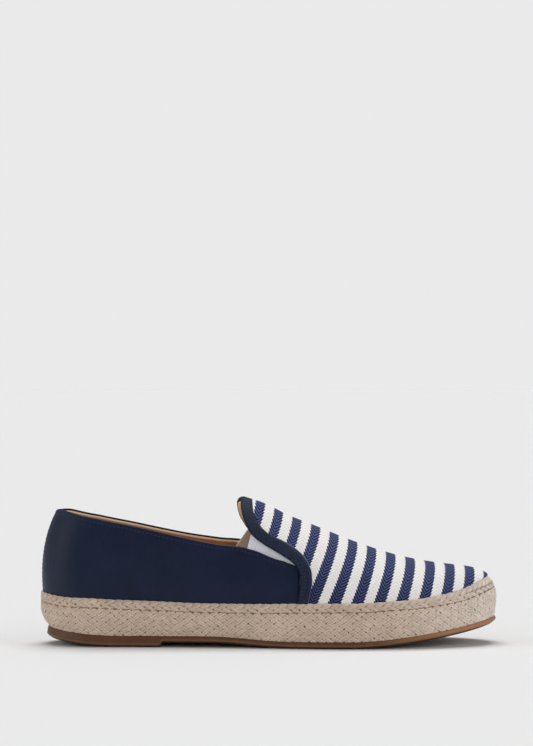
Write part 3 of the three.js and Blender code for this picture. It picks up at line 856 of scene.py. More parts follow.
def moulded_rubber(name, colour, edge_colour):
    """Brown rubber, with a painted highlight along its lower edge, paler towards the tip, and painted shade
    under its rounded edge.
    """
    finish = Finish(name, Specular_IOR_Level=0.35)
    share, drop, _ = finish.lay()
    spot = finish.place()
    patch = finish.noise(spot, 9.0, 4.0, 0.6)
    fine = finish.noise(spot, 0.7, 3.0, 0.7)
    drag = finish.noise(finish.place((1.0, 1.0, 0.12)), 1.1, 3.0, 0.6)
    tone = finish.plus(finish.times(patch, 0.5), finish.times(drag, 0.5))
    body = finish.blend(finish.spread(tone, 0.3, 0.7), shaded(colour, 0.72), shaded(colour, 1.2))
    # Painted highlight: the face's lower edge, just above the rounding, is blended towards the paler colour,
    # where the rounded edge catches the light.
    painted_low_highlight = finish.spread(finish.plus(drop, finish.times(fine, 0.8)), 1.9, 3.3, 0.55, 0.0)
    # The rubber also turns paler towards the tip.
    forward_share = finish.plus(share, finish.times(patch, 0.06))
    paler_tip = finish.spread(forward_share, 0.72, 0.93, 0.0, 0.85)
    low_highlight_and_paler_tip = finish.calc("MAXIMUM", painted_low_highlight, paler_tip)
    face = finish.blend(low_highlight_and_paler_tip, body, edge_colour)
    # Painted shade: the rounded underside is darkened towards a dark copy of the rubber, and the flat bottom
    # a little less, where shade falls under the sole.
    painted_underside_shade = finish.spread(finish.plus(drop, finish.times(fine, 0.5)), 1.0, 2.0, 1.0, 0.0)
    painted_underside_shade = finish.times(painted_underside_shade, finish.spread(drop, 0.02, 0.2, 0.35, 1.0))
    finish.set("Base Color", finish.blend(painted_underside_shade, face, shaded(colour, 0.35)))
    finish.set("Roughness", finish.spread(fine, 0.3, 0.7, 0.42, 0.6))
    skin = finish.raise_by(finish.plus(finish.times(drag, 0.6), fine), 0.09)
    forward, aside, _ = finish.node("SeparateXYZ", output=slice(0, 3), values={0: spot})
    zigzag = finish.plus(forward, finish.calc("PINGPONG", aside, TREAD_PITCH))
    ribs = finish.spread(finish.calc("PINGPONG", zigzag, TREAD_PITCH / 2), 0.6, 1.2)
    underneath = finish.spread(drop, 0.02, 0.2, 1.0, 0.0)
    finish.raise_by(finish.times(ribs, underneath), TREAD_DEPTH, skin)
    return finish.material


def sewing_thread(name, colour, gloss=0.6):
    """Twisted thread. The reading gives the place along each stitch."""
    finish = Finish(name, Roughness=gloss, Specular_IOR_Level=0.3, Sheen_Weight=0.1)
    along, aside, _ = finish.lay()
    twist = finish.calc("SINE", finish.times(finish.plus(along, aside), 9.0))
    fleck = finish.noise(finish.place(), 0.5, 2.0)
    tone = finish.plus(finish.times(twist, 0.2), fleck)
    dark = shaded(colour, 0.65)
    light = shaded(colour, 1.25)
    finish.set("Base Color", finish.blend(finish.spread(tone, 0.25, 0.8), dark, light))
    finish.raise_by(twist, 0.06)
    return finish.material


def pale_paper(name, colour):
    """Plain pale paper for the floor."""
    finish = Finish(name, Roughness=1.0, Specular_IOR_Level=0.0)
    finish.set("Base Color", (*colour, 1))
    return finish.material


class EspadrilleSizes(bpy.types.PropertyGroup):
    """Sizes that a maker would change."""

    leather: FloatProperty(
        name="Leather",
        description="Thickness of the quarters' leather",
        default=1.3 * MM,
        unit="LENGTH",
    )
    fold_round: FloatProperty(
        name="Fold",
        description="Radius of the folded top edge",
        default=0.65 * MM,
        unit="LENGTH",
    )
    elastic: FloatProperty(
        name="Elastic",
        description="Thickness of the gores",
        default=1.2 * MM,
        unit="LENGTH",
    )
    crossing: FloatProperty(
        name="Crossing",
        description="Length of braid from one crossing to the next",
        default=5.4 * MM,
        unit="LENGTH",
    )
    braid_row: FloatProperty(
        name="Row",
        description="Height of one row of the braid",
        default=3.85 * MM,
        unit="LENGTH",
    )
    groove: FloatProperty(
        name="Groove",
        description="Depth of the stitched groove",
        default=0.5 * MM,
        unit="LENGTH",
    )


class EspadrilleColours(bpy.types.PropertyGroup):
    """Colours of the finishes."""

    navy: FloatVectorProperty(
        name="Navy leather",
        description="Colour of the quarters",
        default=linear(19, 29, 53),
        subtype="COLOR",
    )
    binding: FloatVectorProperty(
        name="Binding",
        description="Colour of the band round the throat",
        default=linear(21, 29, 48),
        subtype="COLOR",
    )
    blue: FloatVectorProperty(
        name="Stripe",
        description="Blue of the cloth",
        default=linear(43, 55, 102),
        subtype="COLOR",
    )
    white: FloatVectorProperty(
        name="Ground",
        description="White of the cloth",
        default=linear(246, 243, 241),
        subtype="COLOR",
    )
    jute: FloatVectorProperty(
        name="Jute",
        description="Colour of the braid",
        default=linear(206, 184, 165),
        subtype="COLOR",
    )
    rubber: FloatVectorProperty(
        name="Rubber",
        description="Colour of the outsole",
        default=linear(94, 63, 42),
        subtype="COLOR",
    )
    lining: FloatVectorProperty(
        name="Lining",
        description="Colour of the lining and the sock",
        default=linear(178, 126, 84),
        subtype="COLOR",
    )
    elastic: FloatVectorProperty(
        name="Elastic",
        description="Colour of the gores",
        default=linear(246, 249, 255),
        subtype="COLOR",
    )


def sizes():
    return bpy.context.scene.espadrille_sizes


def colours():
    return bpy.context.scene.espadrille_colours


def finish_named(name, make, *details):
    """A finish that several pieces share is made once."""
    return bpy.data.materials.get(name) or make(name, *details)


def navy():
    return finish_named("navy_leather", smooth_leather, tuple(colours().navy))


def binding():
    return finish_named("binding_leather", band_leather, tuple(colours().binding))


def lining():
    return finish_named("tan_lining", smooth_leather, tuple(colours().lining), 0.7, 0.03, 0.65, 0.25)


def edged_lining():
    return finish_named("tan_lining_edged", edged_leather, tuple(colours().lining))


def navy_thread():
    return finish_named("navy_thread", sewing_thread, linear(38, 47, 72))


def soft_creases(station, across):
    """Slight troughs and ridges of lasted leather, in millimetres."""
    inside = np.abs(station)
    down = 1 - np.abs(across)
    hollow = np.exp(-(((inside - 15.0) / 5.0) ** 2)) * np.exp(-(((down - 0.3) / 0.16) ** 2))
    pull = np.sin(inside * 0.9 + down * 7.0)
    pull = pull * np.exp(-(((inside - 8.0) / 4.5) ** 2)) * np.exp(-(((down - 0.22) / 0.12) ** 2))
    return -0.35 * hollow + 0.14 * pull


def quarter_strip(profile, columns, name):
    """A strip round the back of the shoe, from one front end to the other. Each row of the profile gives the
    way below the top edge in millimetres, the share of the way left to the foot, and an offset."""
    mesh, s, t = grid_mesh(name, columns, len(profile) - 1)
    station = mix(-FRONT_STATION, FRONT_STATION, s)
    side = np.where(station < 0, -1.0, 1.0)
    ends = np.linspace(-FRONT_STATION, FRONT_STATION, columns + 1)
    end_sides = np.where(ends < 0, -1.0, 1.0)
    tops = topline_across(np.abs(ends), end_sides)
    top = np.interp(station, ends, tops)
    rows = np.arange(len(profile)) / (len(profile) - 1)
    below = np.interp(t, rows, [p[0] for p in profile])
    share = np.interp(t, rows, [p[1] for p in profile])
    offset = np.interp(t, rows, [p[2] for p in profile])
    length = arch_length(np.abs(station), side)
    across = mix(np.minimum(top + below / length, 1), 1.0, share)
    fading = clamp01((1 - across) * 10) * clamp01((across - top) * length / 8)
    offset = offset + soft_creases(station, across) * fading
    return mesh, last_point(np.abs(station), across * side, offset), (across - top) * length


def make_quarters():
    size = sizes()
    thick, radius = size.leather / MM, size.fold_round / MM
    outer_rows = [(WELT_END, 1 - (i / 26) ** 0.9, UPPER_WALL) for i in range(27)]
    outer_rows += [(below, 0.0, UPPER_WALL + raised) for below, raised in WELT]
    turns = np.linspace(0, np.pi, 9)[1:-1]
    middle = UPPER_WALL - radius
    fold = [(radius * (1 - math.sin(a)), 0.0, middle + radius * math.cos(a)) for a in turns]
    inner_rows = [(radius, (i / 8) ** 1.5, UPPER_WALL - thick) for i in range(9)]
    profile = outer_rows + fold + inner_rows + [outer_rows[0]]
    mesh, points, _ = quarter_strip(profile, 236, "quarter_leather")
    lay_points(mesh, points)
    close_up(mesh, 0.02, capped=True)
    piece(mesh, "quarter_leather", navy(), "leather_navy", "upper")


def make_quarter_lining():
    size = sizes()
    face = UPPER_WALL - size.leather / MM
    thick = face - 0.02
    radius = thick / 2
    drop = 1.0
    outer_rows = [(drop + radius, 1 - i / 6, face - 0.02) for i in range(7)]
    turns = np.linspace(0, np.pi, 7)[1:-1]
    fold = [(drop + radius * (1 - math.sin(a)), 0.0, radius + radius * math.cos(a)) for a in turns]
    inner_rows = [(drop + radius, (i / 18) ** 1.1, 0.0) for i in range(19)]
    profile = outer_rows + fold + inner_rows + [outer_rows[0]]
    mesh, points, below = quarter_strip(profile, 160, "quarter_lining")
    lay_points(mesh, points)
    keep_lay(mesh, np.stack([below, 0 * below, 0 * below], axis=-1))
    close_up(mesh, 0.02, capped=True)
    piece(mesh, "quarter_lining", edged_lining(), "leather_tan", "upper")


def vamp_sheet(name, columns, rows, forward, offset):
    """A sheet over the forefoot, from behind the throat edge to the tip, closed at the toe."""
    mesh, s, t = grid_mesh(name, columns, rows)
    across = 2 * t - 1
    ends = np.linspace(-1, 1, rows + 1)
    starts = throat_station(ends, forward, offset)
    start = np.interp(across, ends, starts)
    station = mix(start, STATIONS, s)
    return mesh, station, across


def cloth_offset(station, across):
    """Outer face of the cloth, which stands prouder where it is turned in behind the throat's band."""
    share = (1 - np.cos(np.pi * np.minimum(station, STATIONS) / STATIONS)) / 2
    tab = 0.85 * ease((0.503 - share) / 0.035) * ease((0.35 - np.abs(across)) / 0.3)
    return UPPER_WALL + 0.15 + 0.85 * ease((0.545 - share) / 0.08) + tab


def ridge_way():
    """Way along the ridge of the vamp, by station."""
    stations = np.linspace(14, STATIONS, 400)
    points = last_point(stations, np.zeros_like(stations), cloth_offset(stations, 0.0))
    way = np.concatenate([[0], np.cumsum(np.linalg.norm(np.diff(points, axis=0), axis=1))])
    return points[:, 0], way, points[:, 2]


def fall_table(side):
    """Way down the cloth from the ridge, as its lines are drawn: even as seen from the side, and stretched
    over the ridge."""
    station, across = np.meshgrid(_COLUMNS, np.linspace(0, 1, 181), indexing="ij")
    steps = np.diff(last_point(station, side * across, UPPER_WALL), axis=1)
    stretched = RIDGE_STRETCH * np.linalg.norm(steps, axis=2)
    drawn = (stretched**4 + steps[..., 2] ** 4) ** 0.25
    return np.concatenate([np.zeros((len(_COLUMNS), 1)), np.cumsum(drawn, axis=1)], axis=1)


def held_by_rim(points, depth):
    """Draws the foot of a sheet in behind the rim at the toe, where it would stand out past it."""
    station = np.linspace(0.65 * STATIONS, STATIONS, 260)
    edges = [outline(station, side) + outward(station, side) for side in (-1, 1)]
    x, y, nx, ny = np.concatenate(edges, axis=1)
    toe = np.flatnonzero(share_at(points[:, 0]) > HOLD_START)
    across_x = points[toe, 0, None] - x
    across_y = points[toe, 1, None] - y
    near = np.argmin(across_x**2 + across_y**2, axis=1)
    each = np.arange(len(toe))
    margin = across_x[each, near] * nx[near] + across_y[each, near] * ny[near]
    share = share_at(x[near])
    height = points[toe, 2]
    level = clamp01((height - braid_foot(share)) / (rim_top(share) - braid_foot(share)))
    allowed = braid_margin(share, level) - BRAID_SINK - depth
    fading = ease((rim_top(share) + HOLD_HEIGHT - height) / 4.0) * ease((share - HOLD_START) / 0.1)
    pulled = np.maximum(margin - allowed, 0) * fading
    held = points.copy()
    held[toe, 0] -= nx[near] * pulled
    held[toe, 1] -= ny[near] * pulled
    return held


def stripe_reading(points, station, across):
    """Each point's place along the stripes' cloth and down its side, both in millimetres."""
    ridge_x, way, ridge_z = ridge_way()
    rim = rim_top(share_at(points[:, 0]))
    top = np.interp(points[:, 0], ridge_x, ridge_z)
    drop = clamp01((top - points[:, 2]) / np.maximum(top - rim, 1)) ** 1.35
    shares = np.linspace(0.4, 1.0, 160)
    slips = stripe_slip(shares)
    crossing = points[:, 0].copy()
    for _ in range(12):
        crossing = points[:, 0] + np.interp(share_at(crossing), shares, slips) * drop
    along = np.interp(crossing, ridge_x, way) - np.interp(BLUE_CENTRE, ridge_x, way)
    fall = np.where(
        across < 0,
        _read_table(fall_table(-1), station, np.abs(across)),
        _read_table(fall_table(1), station, np.abs(across)),
    )
    down = np.where(across < 0, fall, -fall)
    return np.stack([along, down, np.zeros_like(down)], axis=-1)


def make_vamp():
    mesh, station, across = vamp_sheet("vamp_cloth", 120, 150, 0.16, UPPER_WALL)
    points = last_point(station, across, cloth_offset(station, across))
    lay_points(mesh, held_by_rim(points, 0.3))
    keep_lay(mesh, stripe_reading(points, station, across))
    close_up(mesh, 0.05, turned=False)
    cloth = finish_named("striped_cloth", striped_twill, tuple(colours().blue), tuple(colours().white))
    thicken(piece(mesh, "vamp_cloth", cloth, "cloth_striped", "upper"), CLOTH_THICKNESS)
    lined, station, across = vamp_sheet("vamp_lining", 70, 90, 0.03, VAMP_LINING_FACE)
    points = last_point(station, across, VAMP_LINING_FACE)
    lay_points(lined, held_by_rim(points, 1.8))
    heights, places = throat_line(0)
    inside = points[:, 0] - np.interp(points[:, 2], heights, places)
    keep_lay(lined, np.stack([inside, 0 * inside, 0 * inside], axis=-1))
    close_up(lined, 0.05, turned=False)
    thicken(piece(lined, "vamp_lining", edged_lining(), "leather_tan", "upper"), VAMP_LINING_THICKNESS)


def tab_swell(across):
    """The tab's middle stands prouder, where the band goes over the cloth's turned end."""
    return 0.6 * ease((0.45 - np.abs(across)) / 0.35)


def throat_strip(name, profile, columns, foot):
    """A strip along the throat edge, from one side's foot over the tab to the other's. The profile gives
    how far forward each row lies, as a share of the trim's width, and its offset from the last."""
    mesh, s, t = grid_mesh(name, columns, len(profile) - 1)
    across = foot * (2 * s - 1)
    rows = np.arange(len(profile)) / (len(profile) - 1)
    points = np.empty((len(s), 3))
    for row, (forward, offset) in zip(rows, profile):
        on_row = np.abs(t - row) < 0.25 / len(profile)
        raised = offset + tab_swell(across[on_row]) * clamp01(offset - 1)
        station = throat_station(across[on_row], forward, raised)
        points[on_row] = last_point(station, across[on_row], raised)
    return mesh, points


def rounded_profile(start, end, low, high, round_start, round_end, steps=5, flat=8):
    """Section of a band: up round its rear edge, over its face and down round its front edge, and back."""
    turns = np.linspace(0, np.pi / 2, steps)
    rear = [(start + round_start * (1 - math.cos(a)), high - (high - low) * (1 - math.sin(a))) for a in turns]
    face = [
        (mix(start + round_start, end - round_end, i / flat), high + 0.12 * math.sin(math.pi * i / flat))
        for i in range(1, flat)
    ]
    front = [(end - round_end * (1 - math.sin(a)), high - (high - low) * (1 - math.cos(a))) for a in turns]
    under = [(mix(end, start, i / 4), low) for i in range(1, 4)]
    return rear + face + front + under + [rear[0]]


def make_trim():
    band = binding()
    # Painted highlight: the pale line along the band's front edge stands for the light caught on its folded
    # edge.
    highlight_line_finish = finish_named("edge_line", sewing_thread, linear(96, 106, 138))
    line_section = (0.985, 1.06, UPPER_WALL - 0.1, UPPER_WALL + 0.42, 0.03, 0.03, 4, 3)
    bands = (
        ("trim_band", (0.0, 1.0, UPPER_WALL + 0.02, TRIM_FACE, 0.12, 0.07), band, ("vamp_trim",)),
        ("trim_fold", (-0.06, 0.05, 0.2, TRIM_FACE - 0.25, 0.05, 0.02), band, ("vamp_trim",)),
        ("trim_highlight_line", line_section, highlight_line_finish, ()),
    )
    for name, section, finish, nodes in bands:
        mesh, points = throat_strip(name, rounded_profile(*section), 200, TRIM_FOOT)
        lay_points(mesh, points)
        close_up(mesh, 0.02, capped=True)
        piece(mesh, name, finish, "leather_navy", *nodes)


def gore_point(x, z, side, offset):
    """The point of the last under a place seen from the side."""
    stations = np.linspace(12, 26, 300)
    foot_x = last_point(stations, np.full_like(stations, 0.5 * side))[:, 0]
    station = np.interp(x, foot_x, stations)

    def miss(across):
        return z - last_point(station, across * side)[..., 2]

    across = bisect(miss, np.full_like(station, 0.01), np.full_like(station, 0.99))
    return last_point(station, across * side, offset)


def make_gore(name, side):
    heights, places = throat_line(0)
    back, slant = (NEAR_GORE_REAR, NEAR_GORE_SLANT) if side < 0 else (FAR_GORE_REAR, FAR_GORE_SLANT)
    rear_x = back * SOLE_LENGTH - MIDDLE_X
    rear_z = float(topline_height(np.array(back), side))
    columns, rows = 40, 26
    forward = np.linspace(0, GORE_REACH, columns + 1)

    def rib_x(reach, z):
        return rear_x + reach + slant * (z - rear_z)

    def below(z):
        return z - topline_height(rib_x(forward, z) / SOLE_LENGTH + 0.5, side) + GORE_SEAM

    def beyond(z):
        return rib_x(forward, z) - np.interp(z, heights, places) - GORE_SEAM

    lowest = np.full_like(forward, GORE_LOWEST)
    highest = np.full_like(forward, GORE_HIGHEST)
    low = bisect(below, lowest, highest)
    high = bisect(beyond, lowest, highest)
    high = np.maximum(high, low + 0.4)
    mesh, s, t = grid_mesh(name, columns, rows)
    reach = s * forward[-1]
    z = mix(np.interp(reach, forward, low), np.interp(reach, forward, high), t)
    x = rib_x(reach, z)
    points = gore_point(x, z, side, -GAP)
    lay_points(mesh, points)
    thick = sizes().elastic / MM
    keep_lay(mesh, np.stack([reach, z, np.zeros_like(z)], axis=-1))
    bm = bmesh.new()
    bm.from_mesh(mesh)
    lay = bm.verts.layers.float_vector["lay"]
    if side > 0:
        bmesh.ops.reverse_faces(bm, faces=bm.faces)
    made = bmesh.ops.solidify(bm, geom=bm.faces[:], thickness=thick * MM)
    fresh = [v for v in made["geom"] if isinstance(v, bmesh.types.BMVert)]
    for vert in fresh:
        vert[lay] = (vert[lay][0], vert[lay][1], 1.0)
    bmesh.ops.recalc_face_normals(bm, faces=bm.faces)
    bm.to_mesh(mesh)
    bm.free()
    web = finish_named("elastic_web", elastic_web, tuple(colours().elastic), linear(255, 238, 225))
    piece(mesh, "elastic_" + name, web, "elastic_white", name)


# Stitches
def stitch_row(name, path, normals, length, pitch, radius, finish, slot, sink=0.35):
    """A row of stitches along a path of points, as small slender capsules half sunk in what they hold."""
    way = np.concatenate([[0], np.cumsum(np.linalg.norm(np.diff(path, axis=0), axis=1))])
    count = int(way[-1] // pitch)
    bm = bmesh.new()
    lay = bm.verts.layers.float_vector.new("lay")
    for i in range(count):
        at = (i + 0.5) * way[-1] / count
        middle = np.array([np.interp(at, way, path[:, axis]) for axis in range(3)])
        before = np.array([np.interp(at - length / 2, way, path[:, axis]) for axis in range(3)])
        after = np.array([np.interp(at + length / 2, way, path[:, axis]) for axis in range(3)])
        up = np.array([np.interp(at, way, normals[:, axis]) for axis in range(3)])
        along = Vector(after - before).normalized()
        aside = Vector(up).cross(along).normalized()
        turned = Matrix((along, aside, along.cross(aside))).transposed().to_4x4()
        spot = Vector(middle - up * radius * sink)
        shape = Matrix.Diagonal((length / 2, radius, radius, 1))
        made = bmesh.ops.create_uvsphere(
            bm, u_segments=8, v_segments=6, radius=1, matrix=Matrix.Rotation(math.pi / 2, 4, "Y")
        )
        for vert in made["verts"]:
            vert[lay] = (vert.co.x * length / 2, vert.co.y * radius, i % 7)
        bmesh.ops.transform(bm, matrix=Matrix.Translation(spot) @ turned @ shape, verts=made["verts"])
    bmesh.ops.scale(bm, vec=(MM, MM, MM), verts=bm.verts)
    mesh = bpy.data.meshes.new(name)
    bm.to_mesh(mesh)
    bm.free()
    piece(mesh, name, finish, slot)


def surface_path(station, across, offset):
    path = last_point(station, across, offset)
    out = last_point(station, across, offset + 1.0) - path
    return path, out


def make_upper_stitches():
    for name, side in (("outer", -1.0), ("inner", 1.0)):
        station = np.linspace(0.4, 20.9, 260)
        length = arch_length(station, np.full_like(station, side))
        across = topline_across(station, np.full_like(station, side)) + STITCH_DROP / length
        path, out = surface_path(station, across * side, UPPER_WALL - 0.1)
        stitch_row(f"topline_stitches_{name}", path, out, 1.9, 2.6, 0.26, navy_thread(), "leather_navy")
    across = np.linspace(-0.95, 0.95, 420)
    top = TRIM_FACE
    for name, forward in (("rear", 0.2), ("front", 0.87)):
        raised = top + tab_swell(across)
        station = throat_station(across, forward, raised)
        path, out = surface_path(station, across, raised + 0.06)
        stitch_row(f"trim_stitches_{name}", path, out, 1.7, 2.3, 0.2, navy_thread(), "leather_navy")
    for name, side in (("outer", -1.0), ("inner", 1.0)):
        lower = np.linspace(0.6, 0.95, 120) * side
        station = throat_station(lower, 0.4, top)
        path, out = surface_path(station, lower, top + 0.1)
        stitch_row(f"join_stitches_{name}", path, out, 1.7, 2.3, 0.2, navy_thread(), "leather_navy")
        station = np.full(100, 0.55)
        highest = float(topline_across(np.array([0.55]), np.array([side]))[0])
        rise = np.linspace(highest + 0.05, 0.93, 100) * side
        path, out = surface_path(station, rise, UPPER_WALL)
        stitch_row(f"back_seam_{name}", path, out, 1.9, 2.6, 0.22, navy_thread(), "leather_navy")


# Sole
def section_loop(name, rows, columns):
    """A solid drawn along the sole, from closed sections. A row gives the place across the sole, from -1 to
    1, the margin out of the outline there, and the height, the last two by share of the length."""
    mesh, s, t = grid_mesh(name, columns, len(rows))
    station = STATIONS * s
    row = np.rint(t * len(rows)).astype(int) % len(rows)
    points = np.empty((len(s), 3))
    for r, (aside, margin, height) in enumerate(rows):
        on = row == r
        outer = edge(station[on], -1, margin)
        inner = edge(station[on], 1, margin)
        x, y = (mix(o, i, (aside + 1) / 2) for o, i in zip(outer, inner))
        points[on] = np.stack([x, y, height(share_at(x))], axis=-1)
    return mesh, points


def make_outsole():
    breast = HEEL_BREAST / SOLE_LENGTH

    def foot(share):
        return braid_margin(share, 0) + RUBBER_PROUD

    def flared(part, further=0.0):
        return lambda share: foot(share) + RUBBER_FLARE * (1 - part) + further

    def under(share):
        step = ease((share - breast) / 0.0015 + 0.5)
        return spring(share) + np.minimum(step * 9, waist(share))

    def level(rise):
        return lambda share: np.minimum(under(share) + rise, outsole_top(share) - 0.6)

    def rising(part):
        return lambda share: mix(level(RUBBER_EDGE_RISE)(share), outsole_top(share), part)

    def lip_margin(share):
        return foot(share) - 0.35

    bottom = [(w, flared(0, -RUBBER_INSET), under) for w in np.linspace(1, -1, 13)]
    side = [(flared(0, m - 0.1), level(r)) for m, r in RUBBER_EDGE]
    middle = [(flared(p), rising(p)) for p in (0.3, 0.6, 0.88)]
    lip = [(flared(1, -0.02), lambda share: outsole_top(share) - 0.12), (lip_margin, outsole_top)]
    wall = side + middle + lip
    top = [(w, lip_margin, outsole_top) for w in np.linspace(-1, 1, 9)[1:-1]]
    rows = bottom + [(-1, m, h) for m, h in wall] + top + [(1, m, h) for m, h in reversed(wall)]
    mesh, points = section_loop("rubber_outsole", rows, 300)
    lay_points(mesh, points)
    share = share_at(points[:, 0])
    drop = points[:, 2] - under(share)
    keep_lay(mesh, np.stack([share, drop, np.zeros_like(drop)], axis=-1))
    close_up(mesh, 0.01)
    # The paler colour is that of the painted highlight along the lower edge and of the paler tip.
    rubber = finish_named("brown_rubber", moulded_rubber, tuple(colours().rubber), linear(168, 122, 84))
    piece(mesh, "rubber_outsole", rubber, "rubber_brown", "outsole")


def make_sole_body():
    """The coiled jute under the braid, and the rim that it stands round the upper."""

    def at_level(part):
        return (
            lambda share: braid_margin(share, part) - CORE_INSET,
            lambda share: mix(braid_foot(share), rim_top(share) - 1.0, part),
        )

    seat_margin = -LAST_INSET + UPPER_WALL + 0.15
    foot_margin = at_level(0)[0]
    wall = [at_level(part) for part in (0, 0.15, 0.3, 0.5, 0.72, 0.86, 1.0)]
    rim = [
        (seat_margin, lambda share: rim_top(share) - 1.0),
        (seat_margin, lambda share: seat(share) + 0.02),
    ]
    bottom = [(w, foot_margin, braid_foot) for w in np.linspace(1, -1, 9)[:-1]]
    floor = [(w, seat_margin, seat) for w in np.linspace(-1, 1, 9)]
    sides = wall + rim
    rows = bottom + [(-1, m, h) for m, h in sides] + floor + [(1, m, h) for m, h in reversed(sides)]
    mesh, points = section_loop("jute_body", rows, 160)
    lay_points(mesh, points)
    keep_lay(mesh, np.stack([points[:, 0], points[:, 2], 0 * points[:, 0]], axis=-1))
    close_up(mesh, 0.01)
    # Painted shade: the core takes a darker copy of the jute, so that the gaps between the braid's strands
    # look shaded.
    core = finish_named("jute_core", jute_yarn, shaded(colours().jute, 0.72))
    piece(mesh, "jute_body", core, "jute_natural", "jute_midsole")


def around_tables():
    """Way round the sole from the back of the heel, by turn: up the outer side, and back down the inner."""
    turn = np.linspace(0, 2 * STATIONS, 3201)
    station = np.where(turn <= STATIONS, turn, 2 * STATIONS - turn)
    side = np.where(turn <= STATIONS, -1.0, 1.0)
    x, y = edge(station, side, -1.0)
    way = np.concatenate([[0], np.cumsum(np.hypot(np.diff(x), np.diff(y)))])
    return turn, way


AROUND = around_tables()


def band_point(way_round, down, out):
    """A point of the jute band: its way round the sole, its way below the top edge, and its height out."""
    turn, way = AROUND
    at = np.interp(way_round % way[-1], way, turn)
    station = np.where(at <= STATIONS, at, 2 * STATIONS - at)
    side = np.where(at <= STATIONS, -1.0, 1.0)
    x, y = outline(station, side)
    nx, ny = outward(station, side)
    share = share_at(x)
    tall = rim_top(share) - braid_foot(share)
    level = 1 - down / tall
    low = np.maximum(level, -0.03)
    slope_at = np.clip(level, 0.02, 0.98)
    slope = (braid_margin(share, slope_at + 0.02) - braid_margin(share, slope_at - 0.02)) / (0.04 * tall)
    length = np.sqrt(1 + slope**2)
    margin = braid_margin(share, clamp01(low)) - BRAID_SINK + out / length
    height = braid_foot(share) + low * tall - slope * out / length
    return np.stack([x + nx * margin, y + ny * margin, height], axis=-1)


def float_strand(bm, lay, centre, half_length, half_width, angle, hump):
    """One strand where it rides over another: an arched pair of yarns, closed underneath."""
    made = bmesh.ops.create_grid(bm, x_segments=5, y_segments=6, size=1)["verts"]
    sides = {e for v in made for e in v.link_edges if e.is_boundary}
    bmesh.ops.edgeloop_fill(bm, edges=list(sides))
    turned = Matrix.Rotation(angle, 2)
    for vert in made:
        l, w = vert.co.x, vert.co.y
        yarn = abs(math.sin(math.pi * w))
        height = hump * math.cos(math.pi * l * 0.93) + 0.5 * (1 - w**4) + 0.16 * yarn
        along, aside = l * half_length, w * half_width
        vert[lay] = (along, aside, 0)
        flat = turned @ Vector((along, aside))
        vert.co = (centre[0] + flat.x, centre[1] - flat.y, height)


def edge_turn(bm, lay, centre, half_length, half_width, thick, angle):
    """A strand where it turns over the top edge of the braid."""
    lying = Matrix.Rotation(math.pi / 2, 4, "Y")
    made = bmesh.ops.create_uvsphere(bm, u_segments=9, v_segments=7, radius=1, matrix=lying)["verts"]
    turned = Matrix.Rotation(angle, 2)
    for vert in made:
        l, w, h = vert.co
        full = 1 + 0.25 * l * l
        along, aside = l * half_length, w * half_width * full
        vert[lay] = (along * 0.62, aside * 1.6, 0)
        flat = turned @ Vector((along, aside))
        vert.co = (centre[0] + flat.x, centre[1] - flat.y, h * thick * full + 0.1)


def groove_stray(x):
    """How far the groove strays from its even height, along the way round the sole."""
    return 0.5 * (np.sin(x * 0.045) * 0.25 + np.sin(x * 0.017 + 1.3) * 0.3)


